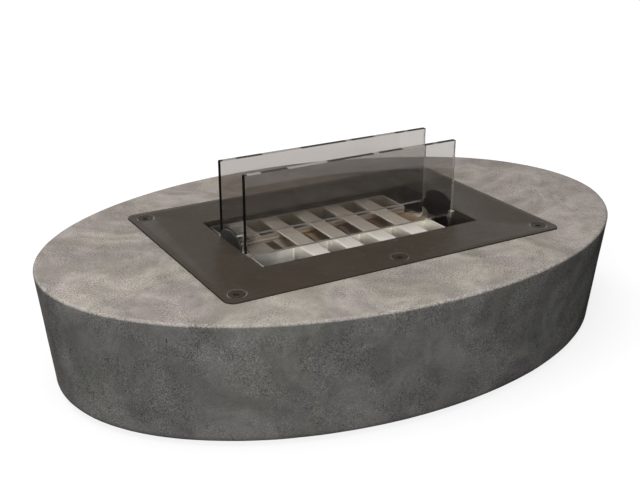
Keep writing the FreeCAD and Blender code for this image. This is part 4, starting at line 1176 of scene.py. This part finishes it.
class ConcreteOperator(bpy.types.Operator):
    """Build the cast concrete body"""
    bl_idname = "fire_pit.concrete"
    bl_label = "Concrete body"

    def execute(self, context):
        build_concrete(context.scene.pit_concrete)
        return {"FINISHED"}


class UndersideOperator(bpy.types.Operator):
    """Build the feet, the panel and their fasteners"""
    bl_idname = "fire_pit.underside"
    bl_label = "Underside"

    def execute(self, context):
        build_underside()
        return {"FINISHED"}


class CoverOperator(bpy.types.Operator):
    """Build the cover plate"""
    bl_idname = "fire_pit.cover"
    bl_label = "Cover plate"

    def execute(self, context):
        build_cover()
        return {"FINISHED"}


class ScrewsOperator(bpy.types.Operator):
    """Build the six cover screws"""
    bl_idname = "fire_pit.cover_screws"
    bl_label = "Cover screws"

    def execute(self, context):
        build_cover_screws()
        return {"FINISHED"}


class WellOperator(bpy.types.Operator):
    """Build the well, rails and cheeks"""
    bl_idname = "fire_pit.well"
    bl_label = "Well and cheeks"

    def execute(self, context):
        build_well(context.scene.pit_steel)
        return {"FINISHED"}


class BurnerOperator(bpy.types.Operator):
    """Build the burner's frame, bars, tank and weld beads"""
    bl_idname = "fire_pit.burner"
    bl_label = "Burner"

    def execute(self, context):
        build_burner(context.scene.pit_steel)
        return {"FINISHED"}


class WickOperator(bpy.types.Operator):
    """Build the ceramic wool"""
    bl_idname = "fire_pit.wick"
    bl_label = "Wick"

    def execute(self, context):
        build_wick()
        return {"FINISHED"}


class SlideOperator(bpy.types.Operator):
    """Build the closing slide, its lug and rivet"""
    bl_idname = "fire_pit.slide"
    bl_label = "Closing slide"

    def execute(self, context):
        build_slide(context.scene.pit_steel)
        return {"FINISHED"}


class PanesOperator(bpy.types.Operator):
    """Build the two panes and their channels"""
    bl_idname = "fire_pit.panes"
    bl_label = "Panes"

    def execute(self, context):
        build_pane("front_glass", "front_pane")
        build_pane("rear_glass", "rear_pane")
        build_channels(context.scene.pit_steel)
        return {"FINISHED"}


OPERATORS = (FinishesOperator, StageOperator, ConcreteOperator, UndersideOperator, CoverOperator,
             ScrewsOperator, WellOperator, BurnerOperator, WickOperator, SlideOperator,
             PanesOperator)
SETTINGS = (("pit_concrete", ConcreteLook), ("pit_steel", SteelLook), ("pit_glass", GlassLook),
            ("pit_stage", StageLook))


class FirePitPanel(bpy.types.Panel):
    """Settings and steps of the fire pit"""
    bl_idname = "VIEW3D_PT_fire_pit"
    bl_label = "Tabletop fire pit"
    bl_space_type = "VIEW_3D"
    bl_region_type = "UI"
    bl_category = "Fire pit"

    def draw(self, context):
        for name, kind in SETTINGS:
            column = self.layout.column()
            column.label(text=kind.__doc__)
            for key in kind.__annotations__:
                column.prop(getattr(context.scene, name), key)
        for operator in OPERATORS:
            self.layout.operator(operator.bl_idname)


def register():
    """Registers the settings, the operators and the panel."""
    for name, kind in SETTINGS:
        bpy.utils.register_class(kind)
        setattr(bpy.types.Scene, name, PointerProperty(type=kind))
    for kind in OPERATORS + (FirePitPanel,):
        bpy.utils.register_class(kind)


def unregister():
    """Takes them out again."""
    for kind in reversed(OPERATORS + (FirePitPanel,)):
        bpy.utils.unregister_class(kind)
    for name, kind in reversed(SETTINGS):
        delattr(bpy.types.Scene, name)
        bpy.utils.unregister_class(kind)


def main():
    """Runs every step in order."""
    register()
    bpy.ops.fire_pit.finishes()
    bpy.ops.fire_pit.stage()
    bpy.ops.fire_pit.concrete()
    bpy.ops.fire_pit.underside()
    bpy.ops.fire_pit.cover()
    bpy.ops.fire_pit.cover_screws()
    bpy.ops.fire_pit.well()
    bpy.ops.fire_pit.burner()
    bpy.ops.fire_pit.wick()
    bpy.ops.fire_pit.slide()
    bpy.ops.fire_pit.panes()


if __name__ == "__main__":
    main()
